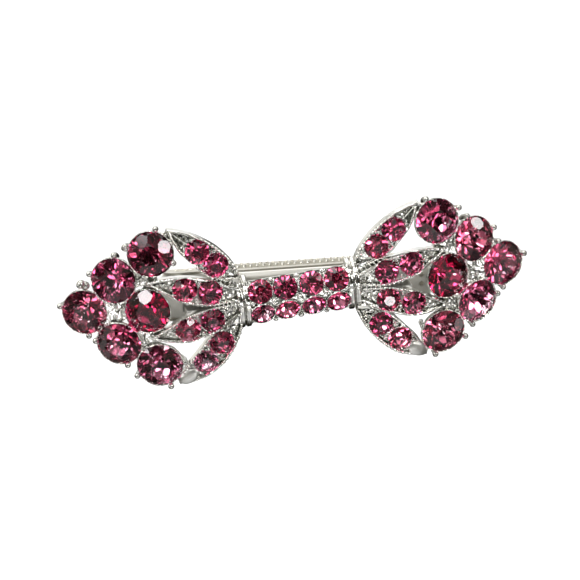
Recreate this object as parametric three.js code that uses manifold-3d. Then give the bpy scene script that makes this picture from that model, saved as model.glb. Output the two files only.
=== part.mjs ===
// Rhinestone bow hair clip: two cast openwork wings and a knot set with glass
// chatons, soldered to a 40 mm automatic barrette (French clip).
// Millimetres. +X along the clip, +Z up as worn, decorative face towards -Y.
import * as THREE from 'three';
import { mergeVertices } from 'three/addons/utils/BufferGeometryUtils.js';
import Module from 'manifold-3d';

const wasm = await Module();
wasm.setup();

// ---- driving dimensions -------------------------------------------------
const LARGE_D = 6.0;            // large chaton diameter
const SMALL_D = 3.25;           // small chaton diameter
const GAP = 0.04;               // setting clearance round a stone
const KNOT_CY = 4.4;            // centre line of the half-barrel knot (Y)
const KNOT_R = 3.8;             // radius of the knot at the girdles
const KNOT_FLOOR_R = 3.62;      // radius of the knot's outer skin
const KNOT_INNER_R = 2.25;
const KNOT_HALF_X = 6.70;
const COLLAR_R = 4.0;
const COLLAR_INNER_R = 2.7;
const COLLAR_ARC = 78;          // degrees each side
const KNOT_ARC = 53;            // degrees each side of the knot's skin
const KNOT_TURN = -2.95;        // the knot sits askew between the wings (degrees)
const KNOT_DROP = 0.18;         // and a little low
const CAST_BACK_Y = 2.95;       // rear face of the castings near the knot
const RIM_W = 0.42;             // leaf rim width
const RIM_H = 0.38;             // leaf rim height in front of the girdles
const LEAF_FLOOR = 0.30;        // floor of a leaf behind the girdles
const LEAF_BACK = 0.85;         // back of a leaf behind the girdles
const PRONG_R = 0.40;           // ball prongs of the large stones

const CROOKED = 2.9;            // the barrette is soldered on askew (degrees)
const BASE_Y = 3.0;             // front face of the base plate at the middle
const BASE_FLAT = 5;            // half length of its flat middle
const BASE_K = 1 / 136;         // bow beyond the flat, BASE_K (|x| - BASE_FLAT)^2
const GRIP_Y = 4.7;             // middle of the space that holds the hair
const BASE_T = 0.45;
const BASE_HW = 3.0;
const BASE_END = 19.0;
const ARM_HW = 3.0;
const ARM_Y0 = 4.3;             // front edge of the arm's flanges
const ARM_Y1 = 6.7;             // inner face of the arm's web
const ARM_Y2 = 7.1;             // back face of the arm's web
const ARM_END = -18.3;
const PIN_X = 17.6;
const PIN_Y = 5.65;
const PIN_R = 0.40;
const PIN_CLEAR = 0.05;
const TOOTH_PITCH = 0.87;       // serrated back edges of the flanges
const TOOTH_D = 0.26;

const D2R = Math.PI / 180;

// ---- manifold helpers -----------------------------------------------------
function solid(geometry) {
  const g = geometry.clone();
  g.deleteAttribute('normal');
  g.deleteAttribute('uv');
  const m = mergeVertices(g, 1e-5);
  return new wasm.Manifold(new wasm.Mesh({
    numProp: 3,
    vertProperties: new Float32Array(m.attributes.position.array),
    triVerts: new Uint32Array(m.index.array),
  }));
}

function geometryOf(man, tolerance = 0.01) {
  const me = man.simplify(tolerance).getMesh();
  const n = me.vertProperties.length / me.numProp;
  const pos = new Float32Array(n * 3);
  for (let i = 0; i < n; i++) for (let k = 0; k < 3; k++) pos[3 * i + k] = me.vertProperties[me.numProp * i + k];
  const g = new THREE.BufferGeometry();
  g.setAttribute('position', new THREE.BufferAttribute(pos, 3));
  g.setIndex(new THREE.BufferAttribute(new Uint32Array(me.triVerts), 1));
  g.computeVertexNormals();
  return g;
}

const union = (list) => list.reduce((a, b) => a.add(b));
const moved = (g, m) => g.clone().applyMatrix4(m);

// closed geometry from points and triangles, turned outward
function fromTris(pts, tris) {
  let vol = 0;
  for (const [a, b, c] of tris) {
    const A = pts[a], B = pts[b], C = pts[c];
    vol += A[0] * (B[1] * C[2] - B[2] * C[1]) - A[1] * (B[0] * C[2] - B[2] * C[0]) + A[2] * (B[0] * C[1] - B[1] * C[0]);
  }
  const g = new THREE.BufferGeometry();
  g.setAttribute('position', new THREE.BufferAttribute(new Float32Array(pts.flat()), 3));
  g.setIndex(tris.map((t) => (vol < 0 ? [t[0], t[2], t[1]] : t)).flat());
  g.computeVertexNormals();
  return g;
}

// loft of equal-length closed sections with fan caps (convex sections)
function loft(sections) {
  const n = sections[0].length;
  const pts = sections.flat();
  const tris = [];
  for (let s = 0; s + 1 < sections.length; s++) {
    for (let i = 0; i < n; i++) {
      const a = s * n + i, b = s * n + (i + 1) % n, c = a + n, d = b + n;
      tris.push([a, b, d], [a, d, c]);
    }
  }
  const e = (sections.length - 1) * n;
  for (let i = 1; i + 1 < n; i++) tris.push([0, i + 1, i], [e, e + i, e + i + 1]);
  return fromTris(pts, tris);
}

// prism of an XZ outline between two Y levels
function prismY(pts, y0, y1, holes = []) {
  const s = new THREE.Shape(pts.map((p) => new THREE.Vector2(p[0], p[1])));
  for (const h of holes) s.holes.push(new THREE.Path(h.map((p) => new THREE.Vector2(p[0], p[1]))));
  const g = new THREE.ExtrudeGeometry(s, { depth: y1 - y0, bevelEnabled: false, curveSegments: 8 });
  g.rotateX(Math.PI / 2);
  g.translate(0, y1, 0);
  return g;
}

// prism of an XY outline between two Z levels
function prismZ(pts, z0, z1) {
  const s = new THREE.Shape(pts.map((p) => new THREE.Vector2(p[0], p[1])));
  const g = new THREE.ExtrudeGeometry(s, { depth: z1 - z0, bevelEnabled: false, curveSegments: 8 });
  g.translate(0, 0, z0);
  return g;
}

// prism of a YZ outline between two X levels
function prismX(pts, x0, x1) {
  const s = new THREE.Shape(pts.map((p) => new THREE.Vector2(p[0], p[1])));
  const g = new THREE.ExtrudeGeometry(s, { depth: x1 - x0, bevelEnabled: false, curveSegments: 8 });
  // local (x,y,z) -> (z, x, y)
  g.applyMatrix4(new THREE.Matrix4().set(0, 0, 1, 0, 1, 0, 0, 0, 0, 1, 0, 0, 0, 0, 0, 1));
  g.translate(x0, 0, 0);
  return g;
}

function box(x0, x1, y0, y1, z0, z1) {
  const g = new THREE.BoxGeometry(x1 - x0, y1 - y0, z1 - z0);
  g.translate((x0 + x1) / 2, (y0 + y1) / 2, (z0 + z1) / 2);
  return g;
}

const circle = (cx, cy, r, n, a0 = 0) => Array.from({ length: n }, (_, i) => [cx + r * Math.cos(a0 + 2 * Math.PI * i / n), cy + r * Math.sin(a0 + 2 * Math.PI * i / n)]);

// piecewise smooth interpolation through (x, y) knots
function curve1(knots) {
  return (x) => {
    const n = knots.length;
    if (x <= knots[0][0]) return knots[0][1];
    if (x >= knots[n - 1][0]) return knots[n - 1][1];
    let i = 0;
    while (x > knots[i + 1][0]) i++;
    const [x1, y1] = knots[i], [x2, y2] = knots[i + 1];
    const m = (j) => {
      const a = knots[Math.max(j - 1, 0)], b = knots[Math.min(j + 1, n - 1)];
      return (b[1] - a[1]) / (b[0] - a[0]);
    };
    const h = x2 - x1, t = (x - x1) / h;
    return (2 * t ** 3 - 3 * t * t + 1) * y1 + (t ** 3 - 2 * t * t + t) * h * m(i) + (-2 * t ** 3 + 3 * t * t) * y2 + (t ** 3 - t * t) * h * m(i + 1);
  };
}

// ---- stones ----------------------------------------------------------------
// seat: centre of the girdle, outward normal
const out = (ox, uz) => new THREE.Vector3(Math.sin(ox * D2R), -Math.cos(ox * D2R) * Math.cos(uz * D2R), Math.sin(uz * D2R) * Math.cos(ox * D2R)).normalize();

const wingSeats = [
  // name, diameter, x, y, z, tilt outwards, tilt up
  ['stone_top', LARGE_D, 19.45, 1.9, 7.85, 10, 8],
  ['stone_upper', LARGE_D, 24.60, 2.9, 4.45, 21, 8],
  ['stone_tip', LARGE_D, 28.70, 4.4, 0.0, 19, 0],
  ['stone_lower', LARGE_D, 24.60, 2.9, -4.45, 21, -8],
  ['stone_bottom', LARGE_D, 19.45, 1.9, -7.85, 10, -8],
  ['stone_center', LARGE_D, 20.50, 1.8, 0.0, 16, 0],
  ['chip_1_outer', SMALL_D, 13.30, 0.90, 7.75, 1, 9],
  ['chip_1_inner', SMALL_D, 10.90, 1.25, 5.50, 3, 4],
  ['chip_2_outer', SMALL_D, 15.40, 0.45, 2.80, 5, 3],
  ['chip_2_inner', SMALL_D, 12.00, 0.60, 1.98, 2, 2],
  ['chip_3_inner', SMALL_D, 12.00, 0.60, -1.98, 2, -2],
  ['chip_3_outer', SMALL_D, 15.40, 0.45, -2.80, 5, -3],
  ['chip_4_inner', SMALL_D, 10.90, 1.25, -5.50, 3, -4],
  ['chip_4_outer', SMALL_D, 13.30, 0.90, -7.75, 1, -9],
].map(([name, d, x, y, z, o, u]) => ({ name, d, c: new THREE.Vector3(x, y, z), n: out(o, u) }));

const knotSeats = [];
[-5.2, -1.82, 1.82, 5.2].forEach((x, i) => {
  for (const s of [1, -1]) {
    const a = 25 * D2R * s;
    knotSeats.push({
      name: `knot_chip_${s > 0 ? 'top' : 'bottom'}_${i + 1}`,
      d: SMALL_D,
      c: new THREE.Vector3(x, KNOT_CY - KNOT_R * Math.cos(a), KNOT_R * Math.sin(a)),
      n: new THREE.Vector3(0, -Math.cos(a), Math.sin(a)),
    });
  }
});

const mirrorSeat = (s) => ({ ...s, c: s.c.clone().setX(-s.c.x), n: s.n.clone().setX(-s.n.x) });

function seatMatrix(seat) {
  const z = seat.n.clone();
  const x = new THREE.Vector3(1, 0, 0).addScaledVector(z, -z.x).normalize();
  const y = new THREE.Vector3().crossVectors(z, x);
  return new THREE.Matrix4().makeBasis(x, y, z).setPosition(seat.c);
}

// point-back chaton: octagonal table, 8 stars, 8 kites, 16 girdle facets, 16-sided pavilion
function chaton(d, stars) {
  const sides = 16;
  const R = d / 2, crown = 0.185 * d, girdle = 0.045 * d, pav = 0.42 * d;
  const pts = [], tris = [];
  const ring = (r, z, n, off) => Array.from({ length: n }, (_, i) => pts.push([r * Math.cos((i + off) * 2 * Math.PI / n), r * Math.sin((i + off) * 2 * Math.PI / n), z]) - 1);
  const T = ring(0.46 * R, crown, 8, 0);
  const G = ring(R, 0, sides, 0);
  const B = ring(R, -girdle, sides, 0);
  const P = pts.push([0, 0, -girdle - pav]) - 1;
  for (let i = 1; i < 7; i++) tris.push([T[0], T[i], T[i + 1]]);
  if (stars) {
    const M = ring(0.76 * R, crown * 0.60, 8, 0.5);
    for (let i = 0; i < 8; i++) {
      const t = T[i], t2 = T[(i + 1) % 8], m = M[i], m0 = M[(i + 7) % 8];
      const g = G[2 * i], g1 = G[2 * i + 1], g2 = G[(2 * i + 2) % 16];
      tris.push([t, m, t2], [t, m0, g], [t, g, m], [m, g, g1], [m, g1, g2]);
    }
  } else {
    for (let i = 0; i < 8; i++) {
      const j = (i + 1) % 8, k = sides / 8;
      for (let q = 0; q < k; q++) tris.push([T[i], G[i * k + q], G[(i * k + q + 1) % sides]]);
      tris.push([T[i], G[(j * k) % sides], T[j]]);
    }
  }
  for (let i = 0; i < sides; i++) {
    const j = (i + 1) % sides;
    tris.push([G[i], B[i], B[j]], [G[i], B[j], G[j]], [B[i], P, B[j]]);
  }
  return fromTris(pts, tris);
}
const largeStone = chaton(LARGE_D, true);
const smallStone = chaton(SMALL_D, false);

// the space a stone needs: straight above the girdle, a cone below that opens the back of the setting
function pocket(d, n) {
  const R = d / 2, g = 0.045 * d, pav = 0.42 * d;
  const p = [[0, 4], [R + GAP, 4], [R + GAP, -g - 0.02], [0, -g - pav - 3 * GAP]];
  const l = new THREE.LatheGeometry(p.slice().reverse().map((q) => new THREE.Vector2(q[0], q[1])), n);
  l.rotateX(Math.PI / 2);
  return l;
}

// the cup that carries a stone
function cup(d, wall, n) {
  const R = d / 2, g = 0.045 * d, pav = 0.42 * d;
  const zh = -g - 0.30 * d, rh = R * (1 - 0.26 * d / pav) + 2.0 * GAP + wall + 0.1;
  const p = [[0, zh], [rh, zh], [R + wall, -g - 0.02 * d], [R + wall, 0.02 * d], [0, 0.02 * d]];
  const l = new THREE.LatheGeometry(p.map((q) => new THREE.Vector2(q[0], q[1])), n);
  l.rotateX(Math.PI / 2);
  return l;
}

const lathe = (p, n) => {
  const l = new THREE.LatheGeometry(p.map((q) => new THREE.Vector2(q[0], q[1])), n);
  return l;
};

// front face of the base plate
const baseY = (x) => BASE_Y + BASE_K * Math.max(0, Math.abs(x) - BASE_FLAT) ** 2;

// ---- wing casting ------------------------------------------------------------
const y1f = curve1([[7.4, 2.55], [9.2, 1.85], [10.9, 1.3], [13.3, 0.95], [15.4, 1.45], [17.2, 2.35]]);
const y2f = curve1([[7.4, 1.6], [10, 0.9], [12, 0.62], [15.4, 0.47], [18, 0.95], [20.6, 1.75]]);
const leaf1 = {
  A: [[7.75, 3.55], [8.3, 4.9], [8.9, 6.0], [9.8, 7.2], [10.9, 8.35], [12.3, 9.4], [13.8, 10.2], [15.4, 10.7], [16.95, 10.95]],
  B: [[8.1, 1.95], [9.6, 2.75], [11.1, 3.5], [12.7, 4.45], [13.85, 5.7], [14.75, 6.7], [15.65, 7.75], [16.4, 9.1], [17.15, 10.75]],
  y: y1f,
};
const leaf2 = {
  A: [[7.8, 1.75], [9.7, 2.65], [11.0, 3.35], [12.6, 4.0], [14.1, 4.45], [15.5, 4.65], [16.8, 4.65], [18.4, 4.45], [20.3, 4.05]],
  B: [[7.8, 0.10], [9.6, 0.06], [11.2, 0.06], [12.7, 0.2], [14.1, 0.5], [15.5, 0.95], [16.8, 1.55], [18.3, 2.5], [20.35, 3.75]],
  y: y2f,
};

const spline = (pts, n) => {
  const c = new THREE.CatmullRomCurve3(pts.map((p) => new THREE.Vector3(p[0], p[1], 0)), false, 'centripetal');
  return Array.from({ length: n }, (_, i) => c.getPoint(i / (n - 1)));
};

function leafSolid(leaf, sz) {
  const N = 13;
  const A = spline(leaf.A, N), B = spline(leaf.B, N);
  const outer = [], inner = [];
  for (let i = 0; i < N; i++) {
    const a = A[i], b = B[i], y = leaf.y((a.x + b.x) / 2), w = a.distanceTo(b);
    const u = b.clone().sub(a).normalize();
    outer.push([[a.x, y - RIM_H, a.y * sz], [b.x, y - RIM_H, b.y * sz], [b.x, y + LEAF_BACK, b.y * sz], [a.x, y + LEAF_BACK, a.y * sz]]);
    if (w > 2 * RIM_W + 0.35 && i > 0) {
      const p = a.clone().addScaledVector(u, RIM_W), q = b.clone().addScaledVector(u, -RIM_W);
      inner.push([[p.x, y - 3, p.y * sz], [q.x, y - 3, q.y * sz], [q.x, y + LEAF_FLOOR, q.y * sz], [p.x, y + LEAF_FLOOR, p.y * sz]]);
    }
  }
  return solid(loft(outer)).subtract(solid(loft(inner)));
}

function arcBand(r0, r1, deg, x0, x1, n) {
  const pts = [];
  for (let i = 0; i <= n; i++) { const a = (-deg + 2 * deg * i / n) * D2R; pts.push([KNOT_CY - r1 * Math.cos(a), r1 * Math.sin(a)]); }
  for (let i = n; i >= 0; i--) { const a = (-deg + 2 * deg * i / n) * D2R; pts.push([KNOT_CY - r0 * Math.cos(a), r0 * Math.sin(a)]); }
  return prismX(pts, x0, x1);
}

const ball = (r, w, h) => new THREE.SphereGeometry(r, w, h);
const at = (g, x, y, z) => { const q = g.clone(); q.translate(x, y, z); return q; };

const prongs = [
  // stone, angle round it, distance from its axis
  ['stone_top', 112, 3.45], ['stone_top', -154, 3.35], ['stone_top', 24, 3.5],
  ['stone_upper', 106, 3.45], ['stone_upper', 18, 3.4],
  ['stone_tip', 100, 3.4], ['stone_tip', 16, 3.45], ['stone_tip', -100, 3.4],
  ['stone_lower', -106, 3.4], ['stone_lower', -8, 3.4],
  ['stone_bottom', 158, 3.4], ['stone_bottom', -112, 3.45], ['stone_bottom', -24, 3.5],
];

function wing(turn) {
  const parts = [];
  for (const sz of [1, -1]) {
    parts.push(leafSolid(leaf1, sz), leafSolid(leaf2, sz));
  }
  for (const s of wingSeats.filter((q) => q.d === LARGE_D)) {
    const m = seatMatrix(s);
    parts.push(solid(moved(cup(s.d, 0.26, 16), m)));
  }
  // webs that tie the leaves and the cups together
  const web = (x, z, r, y, n = 10) => solid(prismY(circle(x, z, r, n), y, y + 0.6));
  for (const s of [1, -1]) {
    parts.push(web(17.0, 9.6 * s, 1.1, 2.35));
    parts.push(web(16.6, 8.4 * s, 1.0, 2.2));
    parts.push(web(19.6, 4.0 * s, 1.5, 2.3));
    parts.push(web(21.6, 4.6 * s, 1.5, 2.75));
    parts.push(web(17.3, 3.5 * s, 0.9, 1.75));
    // lug down to the base plate
    parts.push(solid(box(12.4, 15.4, 0.9, 3.38, 0.4 * s + (s < 0 ? -1.6 : 0), 0.4 * s + (s > 0 ? 1.6 : 0))));
  }
  parts.push(web(24.5, 0, 1.9, 3.2, 12));
  parts.push(web(22.5, 0, 1.3, 2.8, 10));
  parts.push(solid(box(8.0, 15.4, 1.25, 1.95, -0.45, 0.45)));
  // collar band wrapped round the end of the knot
  const askew = new THREE.Matrix4().makeRotationY(turn * D2R).setPosition(0, 0, -KNOT_DROP);
  parts.push(solid(moved(arcBand(COLLAR_INNER_R, COLLAR_R, COLLAR_ARC, 7.54, 8.35, 18), askew)));
  // ball prongs
  for (const [name, ang, r] of prongs) {
    const s = wingSeats.find((q) => q.name === name);
    const m = seatMatrix(s);
    const a = ang * D2R;
    const b = ball(PRONG_R, 7, 5);
    b.translate(r * Math.cos(a), r * Math.sin(a), 0.22);
    parts.push(solid(moved(b, m)));
  }
  let body = union(parts);
  for (const s of wingSeats) body = body.subtract(solid(moved(pocket(s.d, 16), seatMatrix(s))));
  // nothing of the casting behind the plate line
  const cut = [];
  const step = 1.5;
  for (let x = 6.5; x < 20.2; x += step) cut.push([x, baseY(x) - 0.30]);
  const outline = [...cut, [20.4, 9], [6.5, 9]];
  body = body.subtract(solid(prismZ(outline, -3.9, 3.9)));
  body = body.subtract(solid(prismZ([[6.5, CAST_BACK_Y], [9.0, CAST_BACK_Y], [9.0, 9], [6.5, 9]], -6, 6)));
  return body;
}

function mirrorX(geometry) {
  const g = geometry.clone();
  const p = g.attributes.position;
  for (let i = 0; i < p.count; i++) p.setX(i, -p.getX(i));
  const ix = Array.from(g.index.array);
  for (let i = 0; i < ix.length; i += 3) [ix[i + 1], ix[i + 2]] = [ix[i + 2], ix[i + 1]];
  g.setIndex(ix);
  g.computeVertexNormals();
  return g;
}

// keep only the largest connected body
function largest(man) {
  const list = man.decompose();
  let best = list[0];
  for (const m of list) if (m.volume() > best.volume()) best = m;
  return best;
}

// ---- knot casting --------------------------------------------------------------
function knot() {
  const parts = [solid(arcBand(KNOT_INNER_R, KNOT_FLOOR_R, KNOT_ARC, -KNOT_HALF_X, KNOT_HALF_X, 12))];
  for (const s of [1, -1]) {
    parts.push(solid(arcBand(2.4, COLLAR_R, COLLAR_ARC, s > 0 ? 6.66 : -7.48, s > 0 ? 7.48 : -6.66, 18)));
    // raised edge along the top and bottom of the knot
    const a0 = (KNOT_ARC - 4) * s * D2R, a1 = (KNOT_ARC + 1) * s * D2R;
    const P = (r, a) => [KNOT_CY - r * Math.cos(a), r * Math.sin(a)];
    parts.push(solid(prismX(s > 0 ? [P(3.3, a0), P(3.3, a1), P(3.80, a1), P(3.80, a0)].reverse() : [P(3.3, a0), P(3.3, a1), P(3.80, a1), P(3.80, a0)], -KNOT_HALF_X, KNOT_HALF_X)));
  }
  for (const s of knotSeats) parts.push(solid(moved(cup(s.d, 0.18, 12), seatMatrix(s))));
  let body = union(parts);
  for (const s of knotSeats) body = body.subtract(solid(moved(pocket(s.d, 16), seatMatrix(s))));
  body = body.subtract(solid(box(-9, 9, CAST_BACK_Y, 12, -6, 6)));
  return body;
}

// ---- barrette ---------------------------------------------------------------------


// a strip bowed like the base plate, from front offset f to back offset b
function bowed(x0, x1, z0, z1, f, b, n) {
  const xs = new Set([x0, x1]);
  for (let i = 1; i < n; i++) xs.add(x0 + (x1 - x0) * i / n);
  for (const e of [-BASE_FLAT, BASE_FLAT]) if (e > x0 && e < x1) xs.add(e);
  const st = [...xs].sort((p, q) => p - q).filter((x) => x === x0 || x === x1 || Math.abs(x) >= BASE_FLAT - 1e-9);
  const pts = [...st.map((x) => [x, baseY(x) + f]), ...st.slice().reverse().map((x) => [x, baseY(x) + b])];
  return prismZ(pts, z0, z1);
}

function basePlate() {
  let body = solid(bowed(-BASE_END, BASE_END, -BASE_HW, BASE_HW, 0, BASE_T, 19));
  // rounded ends and holes for sewing or wiring
  const round = [];
  for (let i = 0; i <= 8; i++) { const a = (-90 + 180 * i / 8) * D2R; round.push([17.2 + 1.8 * Math.cos(a), (BASE_HW) * Math.sin(a)]); }
  for (let i = 0; i <= 8; i++) { const a = (90 + 180 * i / 8) * D2R; round.push([-17.2 + 1.8 * Math.cos(a), (BASE_HW) * Math.sin(a)]); }
  body = body.intersect(solid(prismY(round, 0, 9)));
  for (const x of [17.35, -18.2]) for (const z of x > 0 ? [0.62, -0.62] : [0]) {
    body = body.subtract(solid(prismY(circle(x, z, 0.42, 10), 0, 9)));
  }
  // hinge ears
  for (const s of [1, -1]) {
    const z0 = s > 0 ? 3.06 : -3.42, z1 = s > 0 ? 3.42 : -3.06;
    const ear = prismZ([[16.3, baseY(16.3)], [18.9, baseY(18.9)], [18.75, 6.0], [18.3, 6.5], [17.6, 6.72], [16.9, 6.5], [16.45, 6.0]], z0, z1);
    let e = solid(ear).add(solid(bowed(16.3, 18.6, s > 0 ? 2.0 : -3.42, s > 0 ? 3.42 : -2.0, 0, BASE_T, 2)));
    body = body.add(e);
  }
  const hole = new THREE.CylinderGeometry(PIN_R + 0.03, PIN_R + 0.03, 12, 16);
  hole.rotateX(Math.PI / 2);
  hole.translate(PIN_X, PIN_Y, 0);
  return body.subtract(solid(hole));
}

function hingePin() {
  const h = 3.46;
  const g = lathe([[0, -h - 0.26], [0.34, -h - 0.26], [0.62, -h - 0.1], [0.62, -h], [PIN_R, -h], [PIN_R, h], [0.62, h], [0.62, h + 0.1], [0.34, h + 0.26], [0, h + 0.26]], 16);
  g.rotateX(Math.PI / 2);
  g.translate(PIN_X, PIN_Y, 0);
  return solid(g);
}

function lockingArm() {
  // web: long plate with a window at the latch end
  const web = [];
  web.push([16.3, -ARM_HW], [16.3, ARM_HW]);
  web.push([-12.4, ARM_HW], [-12.7, 2.72]);
  for (let i = 0; i <= 8; i++) { const a = (90 + 180 * i / 8) * D2R; web.push([ARM_END + 1.4 + 1.4 * Math.cos(a), 2.72 * Math.sin(a)]); }
  web.push([-12.7, -2.72], [-12.4, -ARM_HW]);
  const win = [[-17.25, -2.1], [-12.75, -2.1], [-12.75, 2.1], [-17.25, 2.1]];
  let body = solid(prismY(web, ARM_Y1, ARM_Y2, [win]));
  // deep flanges: the front edge keeps clear of the bowed base plate, the back edge
  // is serrated, and the rounded ends carry the hinge pin
  const front = (x) => Math.max(ARM_Y0, baseY(x) + BASE_T + 0.75);
  const prof = [[-12.45, ARM_Y2], [-12.45, front(-12) + 0.75], [-11.95, front(-12) + 0.12]];
  for (let x = -11; x < 16.5; x += 1.5) prof.push([x, front(x)]);
  const er = 0.86;
  for (let i = 0; i <= 5; i++) { const a = (-80 + 80 * i / 5) * D2R; prof.push([PIN_X + er * Math.cos(a), PIN_Y + er * Math.sin(a)]); }
  prof.push([18.40, 6.45], [18.20, 6.85], [17.80, ARM_Y2]);
  for (let x = 15.2; x > -11.5; x -= TOOTH_PITCH) {
    prof.push([x, ARM_Y2], [x - TOOTH_PITCH * 0.16, ARM_Y2 - TOOTH_D], [x - TOOTH_PITCH * 0.40, ARM_Y2 - TOOTH_D], [x - TOOTH_PITCH * 0.56, ARM_Y2]);
  }
  for (const s of [1, -1]) {
    body = body.add(solid(prismZ(prof, s > 0 ? ARM_HW - 0.35 : -ARM_HW, s > 0 ? ARM_HW : -ARM_HW + 0.35)));
  }
  const hole = new THREE.CylinderGeometry(PIN_R + PIN_CLEAR, PIN_R + PIN_CLEAR, 12, 16);
  hole.rotateX(Math.PI / 2);
  hole.translate(PIN_X, PIN_Y, 0);
  return body.subtract(solid(hole));
}

function tensionStrip() {
  const t = 0.26;
  const c = new THREE.CatmullRomCurve3([[17.3, 5.02], [14.5, 5.10], [9, 5.35], [2, 5.42], [-5, 5.08], [-12.0, 4.30]].map((p) => new THREE.Vector3(p[0], p[1], 0)), false, 'centripetal');
  const n = 18, up = [], dn = [];
  for (let i = 0; i <= n; i++) {
    const p = c.getPoint(i / n), q = c.getTangent(i / n), nx = -q.y, ny = q.x;
    up.push([p.x - nx * t / 2, p.y - ny * t / 2]);
    dn.push([p.x + nx * t / 2, p.y + ny * t / 2]);
  }
  let body = solid(prismZ([...up, ...dn.reverse()], -1.5, 1.5));
  // eye rolled round the pin
  const eye = new THREE.CylinderGeometry(0.74, 0.74, 3.0, 18);
  eye.rotateX(Math.PI / 2);
  eye.translate(PIN_X, PIN_Y, 0);
  body = body.add(solid(eye));
  const hole = new THREE.CylinderGeometry(PIN_R + PIN_CLEAR, PIN_R + PIN_CLEAR, 12, 16);
  hole.rotateX(Math.PI / 2);
  hole.translate(PIN_X, PIN_Y, 0);
  return body.subtract(solid(hole));
}

function claspTab(s) {
  const Z = (a, b) => (s > 0 ? [a, b] : [-b, -a]);
  const [h0, h1] = Z(1.60, 1.95);
  let body = solid(prismZ([[-16.8, 3.6], [-13.2, 3.6], [-13.2, 7.48], [-16.8, 7.48]], h0, h1));
  const [c0, c1] = Z(1.70, 3.2);
  body = body.add(solid(box(-16.8, -13.2, 4.86, 5.16, c0, c1)));
  const [l0, l1] = Z(1.85, 2.05);
  body = body.add(solid(box(-16.6, -13.4, 7.16, 7.48, l0, l1)));
  // rounded finger pad with a shallow dimple
  const pad = [[-12.9, 3.70], [-12.65, 4.0], [-12.65, 5.1], [-12.95, 5.35], [-16.9, 5.35], [-17.4, 5.2], [-17.72, 4.9], [-17.8, 4.55], [-17.72, 4.2], [-17.45, 3.9], [-17.0, 3.70]];
  const [p0, p1] = Z(3.06, 3.42);
  body = body.add(solid(prismZ(pad, p0, p1)));
  const dim = ball(1, 12, 8);
  dim.scale(1.25, 0.46, 0.17);
  dim.translate(-15.2, 4.62, s * 3.43);
  body = body.subtract(solid(dim));
  // foot follows the base plate
  body = body.subtract(solid(bowed(-19.4, -9, -3.03, 3.03, -3, BASE_T + 0.03, 12)));
  return body;
}

function solderPad(sx) {
  const x0 = sx > 0 ? 12.3 : -15.5, x1 = sx > 0 ? 15.5 : -12.3;
  return solid(bowed(x0, x1, -2.1, 2.1, -0.27, -0.03, 4));
}

// ---- assembly ---------------------------------------------------------------------
const group = new THREE.Group();
group.name = 'rhinestone_hair_clip';
group.position.y = -GRIP_Y;     // origin in the middle of the hair space

const RHODIUM = [0xc9c8c4, 0.16, 1.0];
const NICKEL = [0xb9b39c, 0.24, 1.0];
const SOLDER = [0x8f8f8a, 0.42, 1.0];
const ROSE = [0x8a2449, 0.05, 0.0];
const RUBY = [0x9a0d3a, 0.05, 0.0];

function add(parent, name, geometry, [color, roughness, metalness], matrix) {
  const mesh = new THREE.Mesh(geometry, new THREE.MeshStandardMaterial({ color, roughness, metalness, flatShading: true }));
  mesh.name = name;
  if (matrix) matrix.decompose(mesh.position, mesh.quaternion, mesh.scale);
  parent.add(mesh);
  return mesh;
}

add(group, 'right_wing_casting', geometryOf(largest(wing(KNOT_TURN))), RHODIUM);
add(group, 'left_wing_casting', mirrorX(geometryOf(largest(wing(-KNOT_TURN)))), RHODIUM);
const centre = new THREE.Group();
centre.name = 'knot';
centre.rotation.y = KNOT_TURN * D2R;
centre.position.z = -KNOT_DROP;
group.add(centre);
add(centre, 'knot_casting', geometryOf(largest(knot())), RHODIUM);

for (const seat of wingSeats) {
  const g = seat.d === LARGE_D ? largeStone : smallStone;
  const finish = seat.name === 'stone_center' ? RUBY : ROSE;
  add(group, `right_${seat.name}`, g, finish, seatMatrix(seat));
  add(group, `left_${seat.name}`, g, finish, seatMatrix(mirrorSeat(seat)));
}
for (const seat of knotSeats) add(centre, seat.name, smallStone, ROSE, seatMatrix(seat));

const barrette = new THREE.Group();
barrette.name = 'barrette';
barrette.rotation.y = CROOKED * D2R;
group.add(barrette);
add(barrette, 'solder_pad_left', geometryOf(solderPad(-1)), SOLDER);
add(barrette, 'solder_pad_right', geometryOf(solderPad(1)), SOLDER);
add(barrette, 'base_plate', geometryOf(basePlate()), NICKEL);
add(barrette, 'hinge_pin', geometryOf(hingePin()), NICKEL);
add(barrette, 'locking_arm', geometryOf(lockingArm()), NICKEL);
add(barrette, 'tension_strip', geometryOf(tensionStrip()), NICKEL);
add(barrette, 'clasp_tab_top', geometryOf(claspTab(1)), NICKEL);
add(barrette, 'clasp_tab_bottom', geometryOf(claspTab(-1)), NICKEL);

export default group;
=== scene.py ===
import bpy
import bmesh
import math
import numpy as np
from mathutils import Matrix, Vector, noise


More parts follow.
